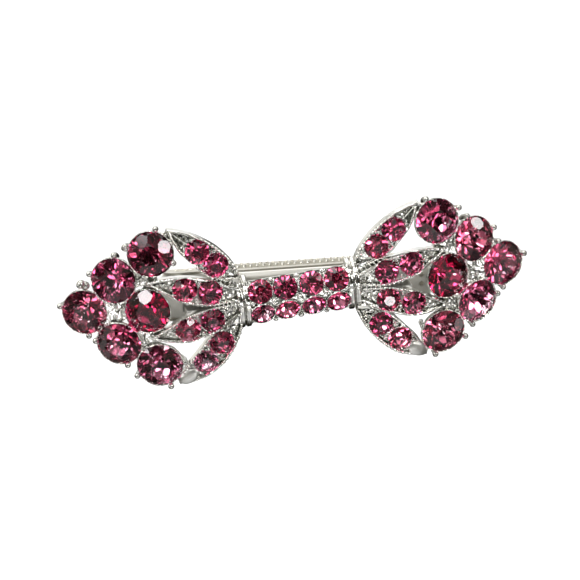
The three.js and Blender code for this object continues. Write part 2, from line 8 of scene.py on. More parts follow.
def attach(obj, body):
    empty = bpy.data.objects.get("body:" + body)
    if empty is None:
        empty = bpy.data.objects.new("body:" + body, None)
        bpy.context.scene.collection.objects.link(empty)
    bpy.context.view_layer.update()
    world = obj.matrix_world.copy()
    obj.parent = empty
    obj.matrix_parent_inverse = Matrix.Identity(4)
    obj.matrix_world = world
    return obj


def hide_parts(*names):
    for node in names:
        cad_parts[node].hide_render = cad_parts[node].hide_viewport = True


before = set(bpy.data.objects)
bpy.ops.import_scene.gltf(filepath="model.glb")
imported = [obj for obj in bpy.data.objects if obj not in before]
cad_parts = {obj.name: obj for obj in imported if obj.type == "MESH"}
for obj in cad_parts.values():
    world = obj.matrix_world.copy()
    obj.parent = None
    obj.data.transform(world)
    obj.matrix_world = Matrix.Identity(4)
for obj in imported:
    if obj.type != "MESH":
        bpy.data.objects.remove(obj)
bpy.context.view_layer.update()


# ---------------------------------------------------------------------------
# Design figures, in millimetres, in the bow's own frame: +X along the clip,
# +Z up, face towards -Y. The row frame is this one moved by -GRIP_Y along Y.
# ---------------------------------------------------------------------------
D2R = math.pi / 180
GRIP_Y = 4.7
CROOKED = 2.9 * D2R
LARGE, SMALL = 6.0, 3.25
KNOT_CY, KNOT_R = 4.4, 3.8
KNOT_TURN, KNOT_DROP = -2.95 * D2R, 0.18
VOXEL = 0.078
rng = np.random.default_rng(7)


def outward(o, u):
    v = np.array([math.sin(o * D2R), -math.cos(o * D2R) * math.cos(u * D2R), math.sin(u * D2R) * math.cos(o * D2R)])
    return v / np.linalg.norm(v)


WING = [
    ("stone_top", LARGE, 19.45, 1.9, 7.85, 10, 8),
    ("stone_upper", LARGE, 24.60, 2.9, 4.45, 21, 8),
    ("stone_tip", LARGE, 28.70, 4.4, 0.0, 19, 0),
    ("stone_lower", LARGE, 24.60, 2.9, -4.45, 21, -8),
    ("stone_bottom", LARGE, 19.45, 1.9, -7.85, 10, -8),
    ("stone_center", LARGE, 20.50, 1.8, 0.0, 16, 0),
    ("chip_1_outer", SMALL, 13.30, 0.90, 7.75, 1, 9),
    ("chip_1_inner", SMALL, 10.90, 1.25, 5.50, 3, 4),
    ("chip_2_outer", SMALL, 15.40, 0.45, 2.80, 5, 3),
    ("chip_2_inner", SMALL, 12.00, 0.60, 1.98, 2, 2),
    ("chip_3_inner", SMALL, 12.00, 0.60, -1.98, 2, -2),
    ("chip_3_outer", SMALL, 15.40, 0.45, -2.80, 5, -3),
    ("chip_4_inner", SMALL, 10.90, 1.25, -5.50, 3, -4),
    ("chip_4_outer", SMALL, 13.30, 0.90, -7.75, 1, -9),
]


class Seat:
    def __init__(self, name, d, c, n):
        self.name, self.d, self.c, self.n = name, d, np.array(c, float), np.array(n, float)
        z = self.n
        x = np.array([1.0, 0, 0]) - z * z[0]
        x /= np.linalg.norm(x)
        self.M = np.stack([x, np.cross(z, x), z], 1)  # columns: local x, y, z

    def out(self, p):
        return self.c + np.asarray(p, float) @ self.M.T

    def local(self, p):
        return (np.asarray(p, float) - self.c) @ self.M


def wing_seats(side):
    r = []
    for name, d, x, y, z, o, u in WING:
        n = outward(o, u)
        r.append(Seat(name, d, (side * x, y, z), (side * n[0], n[1], n[2])))
    return r


KNOT = []
for i, x in enumerate((-5.2, -1.82, 1.82, 5.2)):
    for s in (1, -1):
        a = 25 * D2R * s
        KNOT.append(Seat("knot_chip_%s_%d" % ("top" if s > 0 else "bottom", i + 1), SMALL,
                         (x, KNOT_CY - KNOT_R * math.cos(a), KNOT_R * math.sin(a)), (0, -math.cos(a), math.sin(a))))




def askew(v):
    """the knot's own frame -> bow frame: it sits a little turned and low between the wings"""
    v = np.array(v, float)
    c, s = math.cos(KNOT_TURN), math.sin(KNOT_TURN)
    return np.stack([v[..., 0] * c + v[..., 2] * s, v[..., 1], -v[..., 0] * s + v[..., 2] * c - KNOT_DROP], -1)


def unaskew(v):
    """bow frame -> the knot's own frame"""
    c, s = math.cos(KNOT_TURN), math.sin(KNOT_TURN)
    z = v[..., 2] + KNOT_DROP
    return np.stack([v[..., 0] * c - z * s, v[..., 1], v[..., 0] * s + z * c], -1)


# ---------------------------------------------------------------------------
# Mesh helpers
# ---------------------------------------------------------------------------
class Shells:
    def __init__(self):
        self.v, self.f, self.n = [], [], 0

    def add(self, v, f):
        v = np.asarray(v, float)
        self.v.append(v)
        self.f += [tuple(int(i) + self.n for i in q) for q in f]
        self.n += len(v)

    def arrays(self):
        return np.concatenate(self.v), self.f


def new_mesh(name, v, f):
    me = bpy.data.meshes.new(name)
    me.from_pydata([tuple(p) for p in v], [], f)
    me.update()
    return me


def to_row(v):
    """bow frame in mm -> row frame in metres"""
    v = np.array(v, float)
    v[:, 1] -= GRIP_Y
    return v * 0.001


def barrette_to_bow(v):
    """barrette frame (before it is soldered on askew) -> bow frame, mm"""
    v = np.array(v, float)
    c, s = math.cos(CROOKED), math.sin(CROOKED)
    return np.stack([v[:, 0] * c + v[:, 2] * s, v[:, 1], -v[:, 0] * s + v[:, 2] * c], 1)


def catmull(pts, n):
    """centripetal-like spline through points, n samples evenly spaced in arc length"""
    P = np.array(pts, float)
    P = np.vstack([2 * P[0] - P[1], P, 2 * P[-1] - P[-2]])
    out = []
    for i in range(1, len(P) - 2):
        p0, p1, p2, p3 = P[i - 1], P[i], P[i + 1], P[i + 2]
        for k in range(24):
            t = k / 24
            out.append(0.5 * (2 * p1 + (p2 - p0) * t + (2 * p0 - 5 * p1 + 4 * p2 - p3) * t * t + (3 * p1 - p0 - 3 * p2 + p3) * t ** 3))
    out.append(P[-2])
    Q = np.array(out)
    s = np.concatenate([[0], np.cumsum(np.linalg.norm(np.diff(Q, axis=0), axis=1))])
    u = np.linspace(0, s[-1], n)
    return np.stack([np.interp(u, s, Q[:, k]) for k in range(Q.shape[1])], 1)


def curve1(knots):
    K = np.array(knots, float)
    Q = catmull(K, 240)
    return lambda x: np.interp(x, Q[:, 0], Q[:, 1])


def sweep(path, side, up, prof, scale=None):
    """closed profile (side, up) swept along a path; caps are fans to a centre point"""
    n, m = len(path), len(prof)
    prof = np.array(prof, float)
    sc = np.ones(n) if scale is None else np.asarray(scale, float)
    v = np.concatenate([path[i] + np.outer(prof[:, 0] * sc[i], side[i]) + np.outer(prof[:, 1] * sc[i], up[i]) for i in range(n)])
    f = []
    for i in range(n - 1):
        for j in range(m):
            a, b = i * m + j, i * m + (j + 1) % m
            f.append((a, b, b + m, a + m))
    c0, c1 = v[:m].mean(0), v[-m:].mean(0)
    v = np.vstack([v, c0, c1])
    k = n * m
    for j in range(m):
        f.append((k, (j + 1) % m, j))
        f.append((k + 1, (n - 1) * m + j, (n - 1) * m + (j + 1) % m))
    return v, f


def lathe(prof, n, seat=None):
    """profile of (radius, height) from axis to axis, turned about local z"""
    v, f, rings = [], [], []
    for r, z in prof:
        if r <= 1e-9:
            rings.append([len(v)])
            v.append((0, 0, z))
        else:
            rings.append(list(range(len(v), len(v) + n)))
            v += [(r * math.cos(2 * math.pi * i / n), r * math.sin(2 * math.pi * i / n), z) for i in range(n)]
    for a, b in zip(rings, rings[1:]):
        for i in range(n):
            j = (i + 1) % n
            if len(a) == 1 and len(b) == 1:
                continue
            if len(a) == 1:
                f.append((a[0], b[i], b[j]))
            elif len(b) == 1:
                f.append((a[j], a[i], b[0]))
            else:
                f.append((a[i], b[i], b[j], a[j]))
    v = np.array(v, float)
    return (seat.out(v) if seat else v), f


_ico = {}


def ico(sub):
    if sub not in _ico:
        bm = bmesh.new()
        bmesh.ops.create_icosphere(bm, subdivisions=sub, radius=1.0)
        bm.verts.ensure_lookup_table()
        _ico[sub] = (np.array([v.co[:] for v in bm.verts]), [tuple(v.index for v in f.verts) for f in bm.faces])
        bm.free()
    return _ico[sub]


def blob(c, axes, sub=2):
    """ellipsoid: axes is a 3x3 of half-axis vectors (rows)"""
    v, f = ico(sub)
    return np.asarray(c, float) + v @ np.asarray(axes, float), f


def ball(c, r, sub=2):
    return blob(c, np.eye(3) * r, sub)


def slab(pts, y0, y1):
    """prism of an XZ outline between two Y levels; a level may be a function of (x, z)"""
    n = len(pts)
    g0 = y0 if callable(y0) else (lambda x, z: y0)
    g1 = y1 if callable(y1) else (lambda x, z: y1)
    c = np.mean(np.array(pts, float), 0)
    v = [(x, g0(x, z), z) for x, z in pts] + [(x, g1(x, z), z) for x, z in pts]
    v += [(c[0], g0(*c), c[1]), (c[0], g1(*c), c[1])]
    f = [(i, (i + 1) % n, n + (i + 1) % n, n + i) for i in range(n)]
    f += [(2 * n, (i + 1) % n, i) for i in range(n)] + [(2 * n + 1, n + i, n + (i + 1) % n) for i in range(n)]
    return v, f


def remeshed(shells, voxel, smooth=2):
    """one watertight skin round all the shells, as numpy vertices and quads"""
    v, f = shells.arrays()
    me = new_mesh("tmp_remesh", v, f)
    ob = bpy.data.objects.new("tmp_remesh", me)
    bpy.context.scene.collection.objects.link(ob)
    m = ob.modifiers.new("r", "REMESH")
    m.mode, m.voxel_size, m.adaptivity = "VOXEL", voxel, 0.0
    if smooth:
        s = ob.modifiers.new("s", "SMOOTH")
        s.factor, s.iterations = 0.5, smooth
    dg = bpy.context.evaluated_depsgraph_get()
    ev = ob.evaluated_get(dg)
    em = ev.to_mesh()
    nv = len(em.vertices)
    co = np.zeros(nv * 3, np.float32)
    em.vertices.foreach_get("co", co)
    faces = [tuple(p.vertices) for p in em.polygons]
    ev.to_mesh_clear()
    bpy.data.objects.remove(ob)
    bpy.data.meshes.remove(me)
    return co.reshape(-1, 3).astype(float), faces


def vertex_normals(v, f):
    quads = np.array([q if len(q) == 4 else (*q, q[-1]) for q in f])
    a, b, c, d = (v[quads[:, i]] for i in range(4))
    n = np.cross(c - a, d - b)
    out = np.zeros_like(v)
    for i in range(4):
        np.add.at(out, quads[:, i], n)
    return out / np.maximum(np.linalg.norm(out, axis=1, keepdims=True), 1e-12)


def fbm(p, scale, octaves=3, off=(0, 0, 0)):
    o = np.array(off, float)
    r = np.empty(len(p))
    for i, q in enumerate(p * scale + o):
        r[i] = noise.fractal(q, 1.0, 2.1, octaves)
    return r


def press_seat(v, seat, gap, top):
    """vertices of a casting inside a stone's space go straight down onto the seat's cone"""
    R, g, pav = seat.d / 2, 0.045 * seat.d, 0.42 * seat.d
    q = seat.local(v)
    r = np.hypot(q[:, 0], q[:, 1])
    floor = np.where(r > R, -g - 0.05, -g - gap - pav * (1 - np.minimum(r / R, 1.0)))
    m = (r < R + gap) & (q[:, 2] > floor) & (q[:, 2] < top)
    q[m, 2] = floor[m]
    w = v.copy()
    w[m] = seat.out(q[m])
    return w, m


# ---------------------------------------------------------------------------
# Leaves: outlines (collar to point) of the two sides, and the arch of the leaf
# ---------------------------------------------------------------------------
Y1 = curve1([(7.0, 2.6), (9.2, 1.85), (10.9, 1.3), (13.3, 0.95), (15.4, 1.45), (17.4, 2.4)])
Y2 = curve1([(7.0, 1.7), (10, 0.9), (12, 0.62), (15.4, 0.47), (18, 0.95), (20.9, 1.8)])
LEAF1 = dict(
    A=[(7.75, 3.55), (8.3, 4.9), (8.9, 6.0), (9.8, 7.2), (10.9, 8.35), (12.3, 9.4), (13.8, 10.2), (15.4, 10.7), (17.0, 10.98)],
    B=[(8.1, 1.95), (9.6, 2.75), (11.1, 3.5), (12.7, 4.45), (13.85, 5.7), (14.75, 6.7), (15.65, 7.75), (16.4, 9.1), (17.1, 10.75)], y=Y1)
LEAF2 = dict(
    A=[(7.8, 1.75), (9.7, 2.65), (11.0, 3.35), (12.6, 4.0), (14.1, 4.45), (15.5, 4.65), (16.8, 4.65), (18.4, 4.45), (20.35, 4.05)],
    B=[(7.8, 0.10), (9.6, 0.06), (11.2, 0.06), (12.7, 0.2), (14.1, 0.5), (15.5, 0.95), (16.8, 1.55), (18.3, 2.5), (20.4, 3.8)], y=Y2)
RIM_W, RIM_H, FLOOR, BACK = 0.40, 0.40, 0.32, 0.85
RIM = [(0.0, -BACK), (0.0, 0.16), (0.05, 0.30), (0.14, 0.385), (0.25, 0.385), (0.34, 0.30), (RIM_W, 0.12), (RIM_W, -BACK)]


def leaf_lines(leaf, side, sz, n=60):
    A, B = catmull(leaf["A"], n), catmull(leaf["B"], n)
    mid = (A + B) / 2
    y = leaf["y"](mid[:, 0])
    to3 = lambda P: np.stack([side * P[:, 0], y, sz * P[:, 1]], 1)
    return to3(A), to3(B)


def rim_frame(P, Q):
    """side vectors from a rim line P inwards towards Q, in the XZ plane, square to P"""
    t = np.gradient(P, axis=0)
    t[:, 1] = 0
    t /= np.linalg.norm(t, axis=1, keepdims=True)
    s = np.stack([t[:, 2], np.zeros(len(t)), -t[:, 0]], 1)
    flip = np.sign(np.sum(s * (Q - P), axis=1))
    flip[flip == 0] = 1
    # near the point the other side is close: keep the sense of the body of the leaf
    k = int(np.sign(flip[: len(flip) * 2 // 3].sum()) or 1)
    return s * k


def add_leaf(S, leaf, side, sz):
    A, B = leaf_lines(leaf, side, sz)
    n = len(A)
    up = np.tile([0, -1.0, 0], (n, 1))
    for P, Q in ((A, B), (B, A)):
        S.add(*sweep(P, rim_frame(P, Q), up, RIM))
    # floor
    secs = []
    for i in range(0, n, 2):
        a, b = A[i] * 0.96 + B[i] * 0.04, B[i] * 0.96 + A[i] * 0.04
        secs.append([a + [0, FLOOR, 0], (a + b) / 2 + [0, FLOOR - 0.03, 0], b + [0, FLOOR, 0], b + [0, BACK, 0], (a + b) / 2 + [0, BACK + 0.12, 0], a + [0, BACK, 0]])
    m = 6
    v = np.array(secs).reshape(-1, 3)
    f = []
    for i in range(len(secs) - 1):
        for j in range(m):
            p, q = i * m + j, i * m + (j + 1) % m
            f.append((p, q, q + m, p + m))
    f += [tuple(range(m))[::-1], tuple(range(len(v) - m, len(v)))]
    S.add(v, f)
    return A, B


def milgrain(S, P, Q, t0, t1, pitch=0.45, inset=0.30, lift=0.30, size=(0.15, 0.24, 0.15)):
    """a row of raised grains along the inner shoulder of rim P"""
    s = rim_frame(P, Q)
    L = np.concatenate([[0], np.cumsum(np.linalg.norm(np.diff(P, axis=0), axis=1))])
    a, b = L[-1] * t0, L[-1] * t1
    k = max(2, int((b - a) / pitch))
    for u in np.linspace(a, b, k):
        p = np.array([np.interp(u, L, P[:, c]) for c in range(3)])
        sd = np.array([np.interp(u, L, s[:, c]) for c in range(3)])
        sd /= np.linalg.norm(sd)
        i = min(int(np.searchsorted(L, u)), len(P) - 1)
        tg = P[i] - P[max(i - 1, 0)]
        tg = tg / max(np.linalg.norm(tg), 1e-9)
        c = p + sd * inset + np.array([0, -lift, 0])
        j = 1 + 0.12 * (rng.random(3) - 0.5)
        S.add(*blob(c, [tg * size[0] * j[0], sd * size[1] * j[1], np.array([0, -size[2] * j[2], 0])], 2))


def claw(S, seat, ang, r=None, size=0.30, reach=0.0, lift=0.10):
    """small bead prong that leans on a stone at an angle round it"""
    R = seat.d / 2
    r = R + 0.10 if r is None else r
    a = ang * D2R
    u = np.array([math.cos(a), math.sin(a), 0])
    w = np.array([-math.sin(a), math.cos(a), 0])
    ax = [seat.M @ (u * size * 1.15), seat.M @ (w * size * 0.85), seat.M @ np.array([0, 0, size * 0.9])]
    S.add(*blob(seat.out(u * r + np.array([0, 0, lift])), ax, 2))


def big_prong(S, seat, ang, r=3.42, size=0.43):
    a = ang * D2R
    u = np.array([math.cos(a), math.sin(a), 0])
    top = u * r + np.array([0, 0, 0.20])
    S.add(*ball(seat.out(top), size, 3))
    # stem from the side of the cup, leaning in
    path = np.array([seat.out(u * (r - 0.55) + np.array([0, 0, -1.7])), seat.out(u * (r - 0.12) + np.array([0, 0, -0.9])), seat.out(u * (r + 0.02) + np.array([0, 0, 0.1]))])
    path = catmull(path, 8)
    t = np.gradient(path, axis=0)
    t /= np.linalg.norm(t, axis=1, keepdims=True)
    w = seat.M @ np.array([-math.sin(a), math.cos(a), 0])
    sd = np.tile(w, (8, 1))
    upv = np.cross(t, sd)
    S.add(*sweep(path, sd, upv, [(0.30 * math.cos(q), 0.30 * math.sin(q)) for q in np.linspace(0, 2 * math.pi, 10, endpoint=False)]))


def cup_shell(S, seat, wall):
    d = seat.d
    R, g, pav = d / 2, 0.045 * d, 0.42 * d
    b = -g - pav - 0.22
    S.add(*lathe([(0, b), (0.16 * R, b + 0.01), (0.30 * R, b + 0.06 * d), (0.62 * R, b + 0.18 * d), (0.90 * R, -g - 0.10 * d), (R + wall, -g - 0.03 * d), (R + wall + 0.02, 0.0), (R + wall - 0.06, 0.03 * d), (0, 0.03 * d)], 40, seat))


# ---------------------------------------------------------------------------
# Castings
# ---------------------------------------------------------------------------
PRONGS = {
    1: [("stone_top", 114, 3.5), ("stone_top", 24, 3.5), ("stone_upper", 107, 3.42), ("stone_upper", 18, 3.35),
        ("stone_tip", 101, 3.38), ("stone_tip", -94, 3.35), ("stone_tip", 12, 3.42),
        ("stone_lower", 4, 3.2), ("stone_lower", -107, 3.38), ("stone_bottom", 153, 3.38), ("stone_bottom", -24, 3.45), ("stone_bottom", -112, 3.45)],
    -1: [("stone_top", 107, 3.5), ("stone_top", -154, 3.28), ("stone_top", 23, 3.5), ("stone_upper", 98, 3.5), ("stone_upper", 19, 3.36),
         ("stone_tip", 16, 3.42), ("stone_tip", -96, 3.3), ("stone_lower", 5, 3.2), ("stone_lower", -108, 3.3),
         ("stone_bottom", 174, 3.42), ("stone_bottom", -24, 3.45), ("stone_bottom", -112, 3.45)],
}


def circle(cx, cz, r, n=18):
    return [(cx + r * math.cos(2 * math.pi * i / n), cz + r * math.sin(2 * math.pi * i / n)) for i in range(n)]


# the broad plain lobe at the point of the lowest leaf
LOBE_C = np.array([15.75, 1.42, -9.75])
LOBE_AX = np.array([[1.35, 0.35, -0.75], [0, -0.55, 0], [0.50, 0.0, 0.90]])


def build_wing(side):
    S, T = Shells(), Shells()
    seats = {s.name: s for s in wing_seats(side)}
    lines = {}
    for sz in (1, -1):
        for k, leaf in ((1, LEAF1), (2, LEAF2)):
            lines[(k, sz)] = add_leaf(S, leaf, side, sz)
    for s in seats.values():
        cup_shell(S, s, 0.17 if s.d == LARGE else 0.10)
    X = lambda x: side * x
    for s in (1, -1):
        # webs between cups and leaves, set back behind the girdles
        S.add(*slab(circle(X(17.25), 9.55 * s, 0.95), 2.5, 3.1))
        S.add(*slab(circle(X(19.9), 3.95 * s, 1.25), 2.15, 2.9))
        S.add(*slab(circle(X(21.7), 4.5 * s, 1.35), 2.6, 3.3))
        S.add(*slab(circle(X(18.2), 3.6 * s, 0.8), 1.7, 2.4))
        # textured gusset between the leaves next to the collar
        S.add(*slab([(X(7.9), 0.2 * s), (X(10.4), 0.1 * s), (X(11.2), 3.45 * s), (X(9.6), 3.4 * s), (X(7.9), 3.2 * s)], lambda x, z: 1.55 + 0.25 * abs(z) / 3 - 0.08 * (abs(x) - 8), 2.6))
        # lug down to the base plate
        S.add(*slab([(X(12.4), 0.4 * s), (X(15.4), 0.4 * s), (X(15.4), 2.0 * s), (X(12.4), 2.0 * s)], 1.0, 3.36))
    S.add(*slab(circle(X(24.6), 0, 1.75), 3.15, 3.9))
    S.add(*slab(circle(X(22.8), 0, 1.1), 2.75, 3.4))
    S.add(*blob(LOBE_C * np.array([side, 1, 1]), LOBE_AX * np.array([side, 1, 1]), 3))
    if side > 0:
        rows = [((1, 1), 0, 0.06, 0.66), ((1, -1), 0, 0.08, 0.70), ((2, 1), 1, 0.05, 0.60), ((2, -1), 1, 0.05, 0.50), ((1, 1), 1, 0.05, 0.35)]
    else:
        rows = [((1, 1), 0, 0.05, 0.62), ((1, -1), 0, 0.04, 0.45), ((2, -1), 1, 0.03, 0.92), ((2, 1), 1, 0.02, 0.50), ((1, 1), 1, 0.10, 0.50), ((1, -1), 1, 0.35, 0.95)]
    for key, which, t0, t1 in rows:
        L = lines[key]
        milgrain(S, L[which], L[1 - which], t0, t1, 0.54, 0.20, 0.42, (0.185, 0.27, 0.27))
    # rib down the middle of the top leaf's point
    A, B = lines[(1, 1)]
    mid = ((A + B) / 2)[42:59] + np.array([0, 0.02, 0])
    t = np.gradient(mid, axis=0)
    t /= np.linalg.norm(t, axis=1, keepdims=True)
    sd = np.cross(t, [0, 1.0, 0])
    S.add(*sweep(mid, sd, np.cross(sd, t), [(0.13 * math.cos(q), 0.30 * math.sin(q)) for q in np.linspace(0, 2 * math.pi, 10, endpoint=False)], np.linspace(1.0, 0.6, len(mid))))
    # collar band, rounded, wrapped round the end of the knot
    band(S, X(7.54), X(8.38), 4.02, 78, turned=True)
    v, f = remeshed(S, VOXEL)
    # seats for the stones
    for s in seats.values():
        v, _ = press_seat(v, s, 0.07, 0.9)
    # cast texture in the recesses
    n = vertex_normals(v, f)
    ax = np.abs(v[:, 0])
    in1 = (np.abs(v[:, 2]) > 0.30 * ax + 0.1) & (ax < 17.3)
    girdle = np.where(in1, Y1(ax), Y2(ax))
    depth = np.where(ax < 18, v[:, 1] - girdle, 1.0)
    rec = np.clip((depth - 0.05) / 0.25, 0, 1)
    front = np.clip(-n[:, 1], 0, 1)
    tex = fbm(v, 1.9, 3, (3.1 * side, 0, 0)) * 0.075 + fbm(v, 5.5, 2, (0, 7, 1)) * 0.025
    v = v + n * (tex * rec * (0.25 + 0.75 * front) + 0.012 * fbm(v, 1.2, 2))[:, None]
    for s in seats.values():
        v, _ = press_seat(v, s, 0.05, 0.6)
    # ---- bead prongs and ball prongs
    for name, ang, r in PRONGS[side]:
        big_prong(T, seats[name], ang if side > 0 else 180 - ang, r)
    for sz, (o, i) in ((1, ("chip_1_outer", "chip_1_inner")), (-1, ("chip_4_outer", "chip_4_inner"))):
        so, si = seats[o], seats[i]
        A = (so.c + si.c) / 2
        perp = np.array([-(so.c - si.c)[2], 0, (so.c - si.c)[0]])
        perp /= np.linalg.norm(perp)
        for e in (1, -1):
            c = A + perp * e * 1.28 + np.array([0, -0.12, 0])
            T.add(*blob(c, [perp * 0.34, np.array([0, -0.30, 0]), np.cross(perp, [0, 1, 0]) * 0.27], 2))
        d = (so.c - si.c) / np.linalg.norm(so.c - si.c)
        for e, seat in ((1, so), (-1, si)):
            for q in (0.45, -0.45):
                c = seat.c + (d * e * math.cos(q) + perp * math.sin(q)) * 1.82 + np.array([0, -0.02, 0])
                T.add(*blob(c, np.eye(3) * 0.24, 2))
    for o, i in (("chip_2_outer", "chip_2_inner"), ("chip_3_outer", "chip_3_inner")):
        so, si = seats[o], seats[i]
        A = (so.c + si.c) / 2
        perp = np.array([-(so.c - si.c)[2], 0, (so.c - si.c)[0]])
        perp /= np.linalg.norm(perp)
        for e in (1, -1):
            c = A + perp * e * 1.22 + np.array([0, -0.14, 0])
            T.add(*blob(c, [perp * 0.36, np.array([0, -0.30, 0]), np.cross(perp, [0, 1, 0]) * 0.26], 2))
        d = (so.c - si.c) / np.linalg.norm(so.c - si.c)
        for e, seat, rr in ((1, so, 1.95), (-1, si, 1.85)):
            c = seat.c + d * e * rr + np.array([0, 0.02, 0])
            T.add(*blob(c, np.eye(3) * 0.26, 2))
        c = so.c + d * 3.05 + np.array([0, 0.42, 0])
        T.add(*blob(c, np.eye(3) * 0.22, 2))
    if side < 0:
        # a large blob of casting where the upper and the end cup meet
        T.add(*blob((-28.95, 3.75, 4.20), np.array([[0.60, 0.1, 0.1], [0, -0.55, 0], [0, 0.1, 0.56]]), 3))
        T.add(*blob((-28.3, 4.3, 3.75), np.eye(3) * 0.62, 3))
        for x, z in ((-18.93, 3.53), (-17.62, 3.37), (-18.61, 3.03)):
            T.add(*ball((x, 1.15, z), 0.29, 3))
        T.add(*blob((-22.6, 2.6, 8.9), np.array([[0.62, 0, 0], [0, -0.5, 0], [0, 0, 0.5]]), 3))
    # beads on the webs between the large stones
    for x, y, z, r in ((24.55, 3.05, 0.75, 0.34), (24.75, 3.1, -0.7, 0.34), (23.6, 2.9, 0.0, 0.40), (25.7, 3.35, 0.05, 0.30),
                       (20.9, 2.1, 4.35, 0.34), (20.1, 1.95, 3.6, 0.26), (20.9, 2.1, -4.35, 0.34), (20.1, 1.95, -3.6, 0.26),
                       (22.0, 2.35, 4.0, 0.26), (22.0, 2.35, -4.0, 0.26), (21.5, 2.4, 5.3, 0.26), (21.5, 2.4, -5.3, 0.26)):
        T.add(*ball((X(x), y, z), r, 2))
    return v, f, T


def band(S, x0, x1, r, deg, cut=2.93, turned=False):
    """rounded band round the knot's half barrel, between two X stations"""
    lo, hi = min(x0, x1), max(x0, x1)
    a = np.linspace(-deg, deg, 61) * D2R
    path = np.stack([np.full(61, (lo + hi) / 2), KNOT_CY - (r - 0.5) * np.cos(a), (r - 0.5) * np.sin(a)], 1)
    side = np.tile([1.0, 0, 0], (61, 1))
    up = np.stack([np.zeros(61), -np.cos(a), np.sin(a)], 1)
    w = (hi - lo) / 2
    prof = [(-w, -0.6), (-w, 0.28), (-w * 0.8, 0.42), (-w * 0.4, 0.5), (0, 0.44), (w * 0.4, 0.5), (w * 0.8, 0.42), (w, 0.28), (w, -0.6)]
    v, f = sweep(path, side, up, prof)
    v[:, 1] = np.minimum(v[:, 1], cut)
    S.add(askew(v) if turned else v, f)


def build_knot():
    S, T = Shells(), Shells()
    a = np.linspace(-52.5, 52.5, 41) * D2R
    ri, ro = 2.35, 3.60
    up = np.stack([np.zeros(41), -np.cos(a), np.sin(a)], 1)
    path = np.stack([np.zeros(41), KNOT_CY - 3.0 * np.cos(a), 3.0 * np.sin(a)], 1)
    side = np.tile([1.0, 0, 0], (41, 1))
    S.add(*sweep(path, side, up, [(-6.72, ri - 3.0), (-6.72, ro - 3.0), (6.72, ro - 3.0), (6.72, ri - 3.0)]))
    for s in (1, -1):
        # raised edge along the top and bottom of the knot
        c = 52.0 * s * D2R
        p = np.array([[x, KNOT_CY - 3.62 * math.cos(c), 3.62 * math.sin(c)] for x in np.linspace(-6.72, 6.72, 30)])
        n = len(p)
        u = np.tile([0, -math.cos(c), math.sin(c)], (n, 1))
        w = np.tile([0, math.sin(c), math.cos(c)], (n, 1))
        S.add(*sweep(p, w, u, [(-0.17, -0.5), (-0.17, 0.04), (-0.08, 0.14), (0.08, 0.14), (0.17, 0.04), (0.17, -0.5)]))
        band(S, 6.66 * s, 7.49 * s, 4.02, 78)
    for s in KNOT:
        cup_shell(S, s, 0.10)
    v, f = remeshed(S, VOXEL)
    for s in KNOT:
        v, _ = press_seat(v, s, 0.07, 0.9)
    n = vertex_normals(v, f)
    r = np.hypot(v[:, 1] - KNOT_CY, v[:, 2])
    rec = np.clip((3.75 - r) / 0.2, 0, 1) * (np.abs(v[:, 0]) < 6.8)
    tex = fbm(v, 2.0, 3, (11, 0, 0)) * 0.07 + fbm(v, 5.5, 2, (0, 3, 1)) * 0.022
    v = v + n * (tex * rec + 0.012 * fbm(v, 1.2, 2))[:, None]
    for s in KNOT:
        v, _ = press_seat(v, s, 0.05, 0.6)
    # bead prongs between the stones
    P = lambda x, ang, rr: np.array([x, KNOT_CY - rr * math.cos(ang * D2R), rr * math.sin(ang * D2R)])
    for x in (-3.5, 0.0, 3.5):
        for ang, sz in ((47, 0.33), (1.5, 0.36), (-47, 0.33)):
            u = P(x, ang, 1.0) - P(x, ang, 0.0)
            T.add(*blob(P(x, ang, 3.92), [np.array([0.40, 0, 0]) * (0.9 if x else 1.05), u * 0.30, np.cross(u, [1, 0, 0]) * sz], 2))
        for ang in (21, -21):
            T.add(*blob(P(x, ang, 3.80), np.eye(3) * 0.17, 2))
    for x in (-6.45, 6.45):
        for ang in (44, 4, -42):
            T.add(*blob(P(x, ang, 3.86), np.eye(3) * 0.27, 2))
    for x in (-5.2, -1.82, 1.82, 5.2):
        T.add(*blob(P(x, 0, 3.74), [np.array([0.42, 0, 0]), np.array([0, -0.22, 0]), np.array([0, 0, 0.16])], 2))
    T.v = [askew(q) for q in T.v]
    return askew(v), f, T


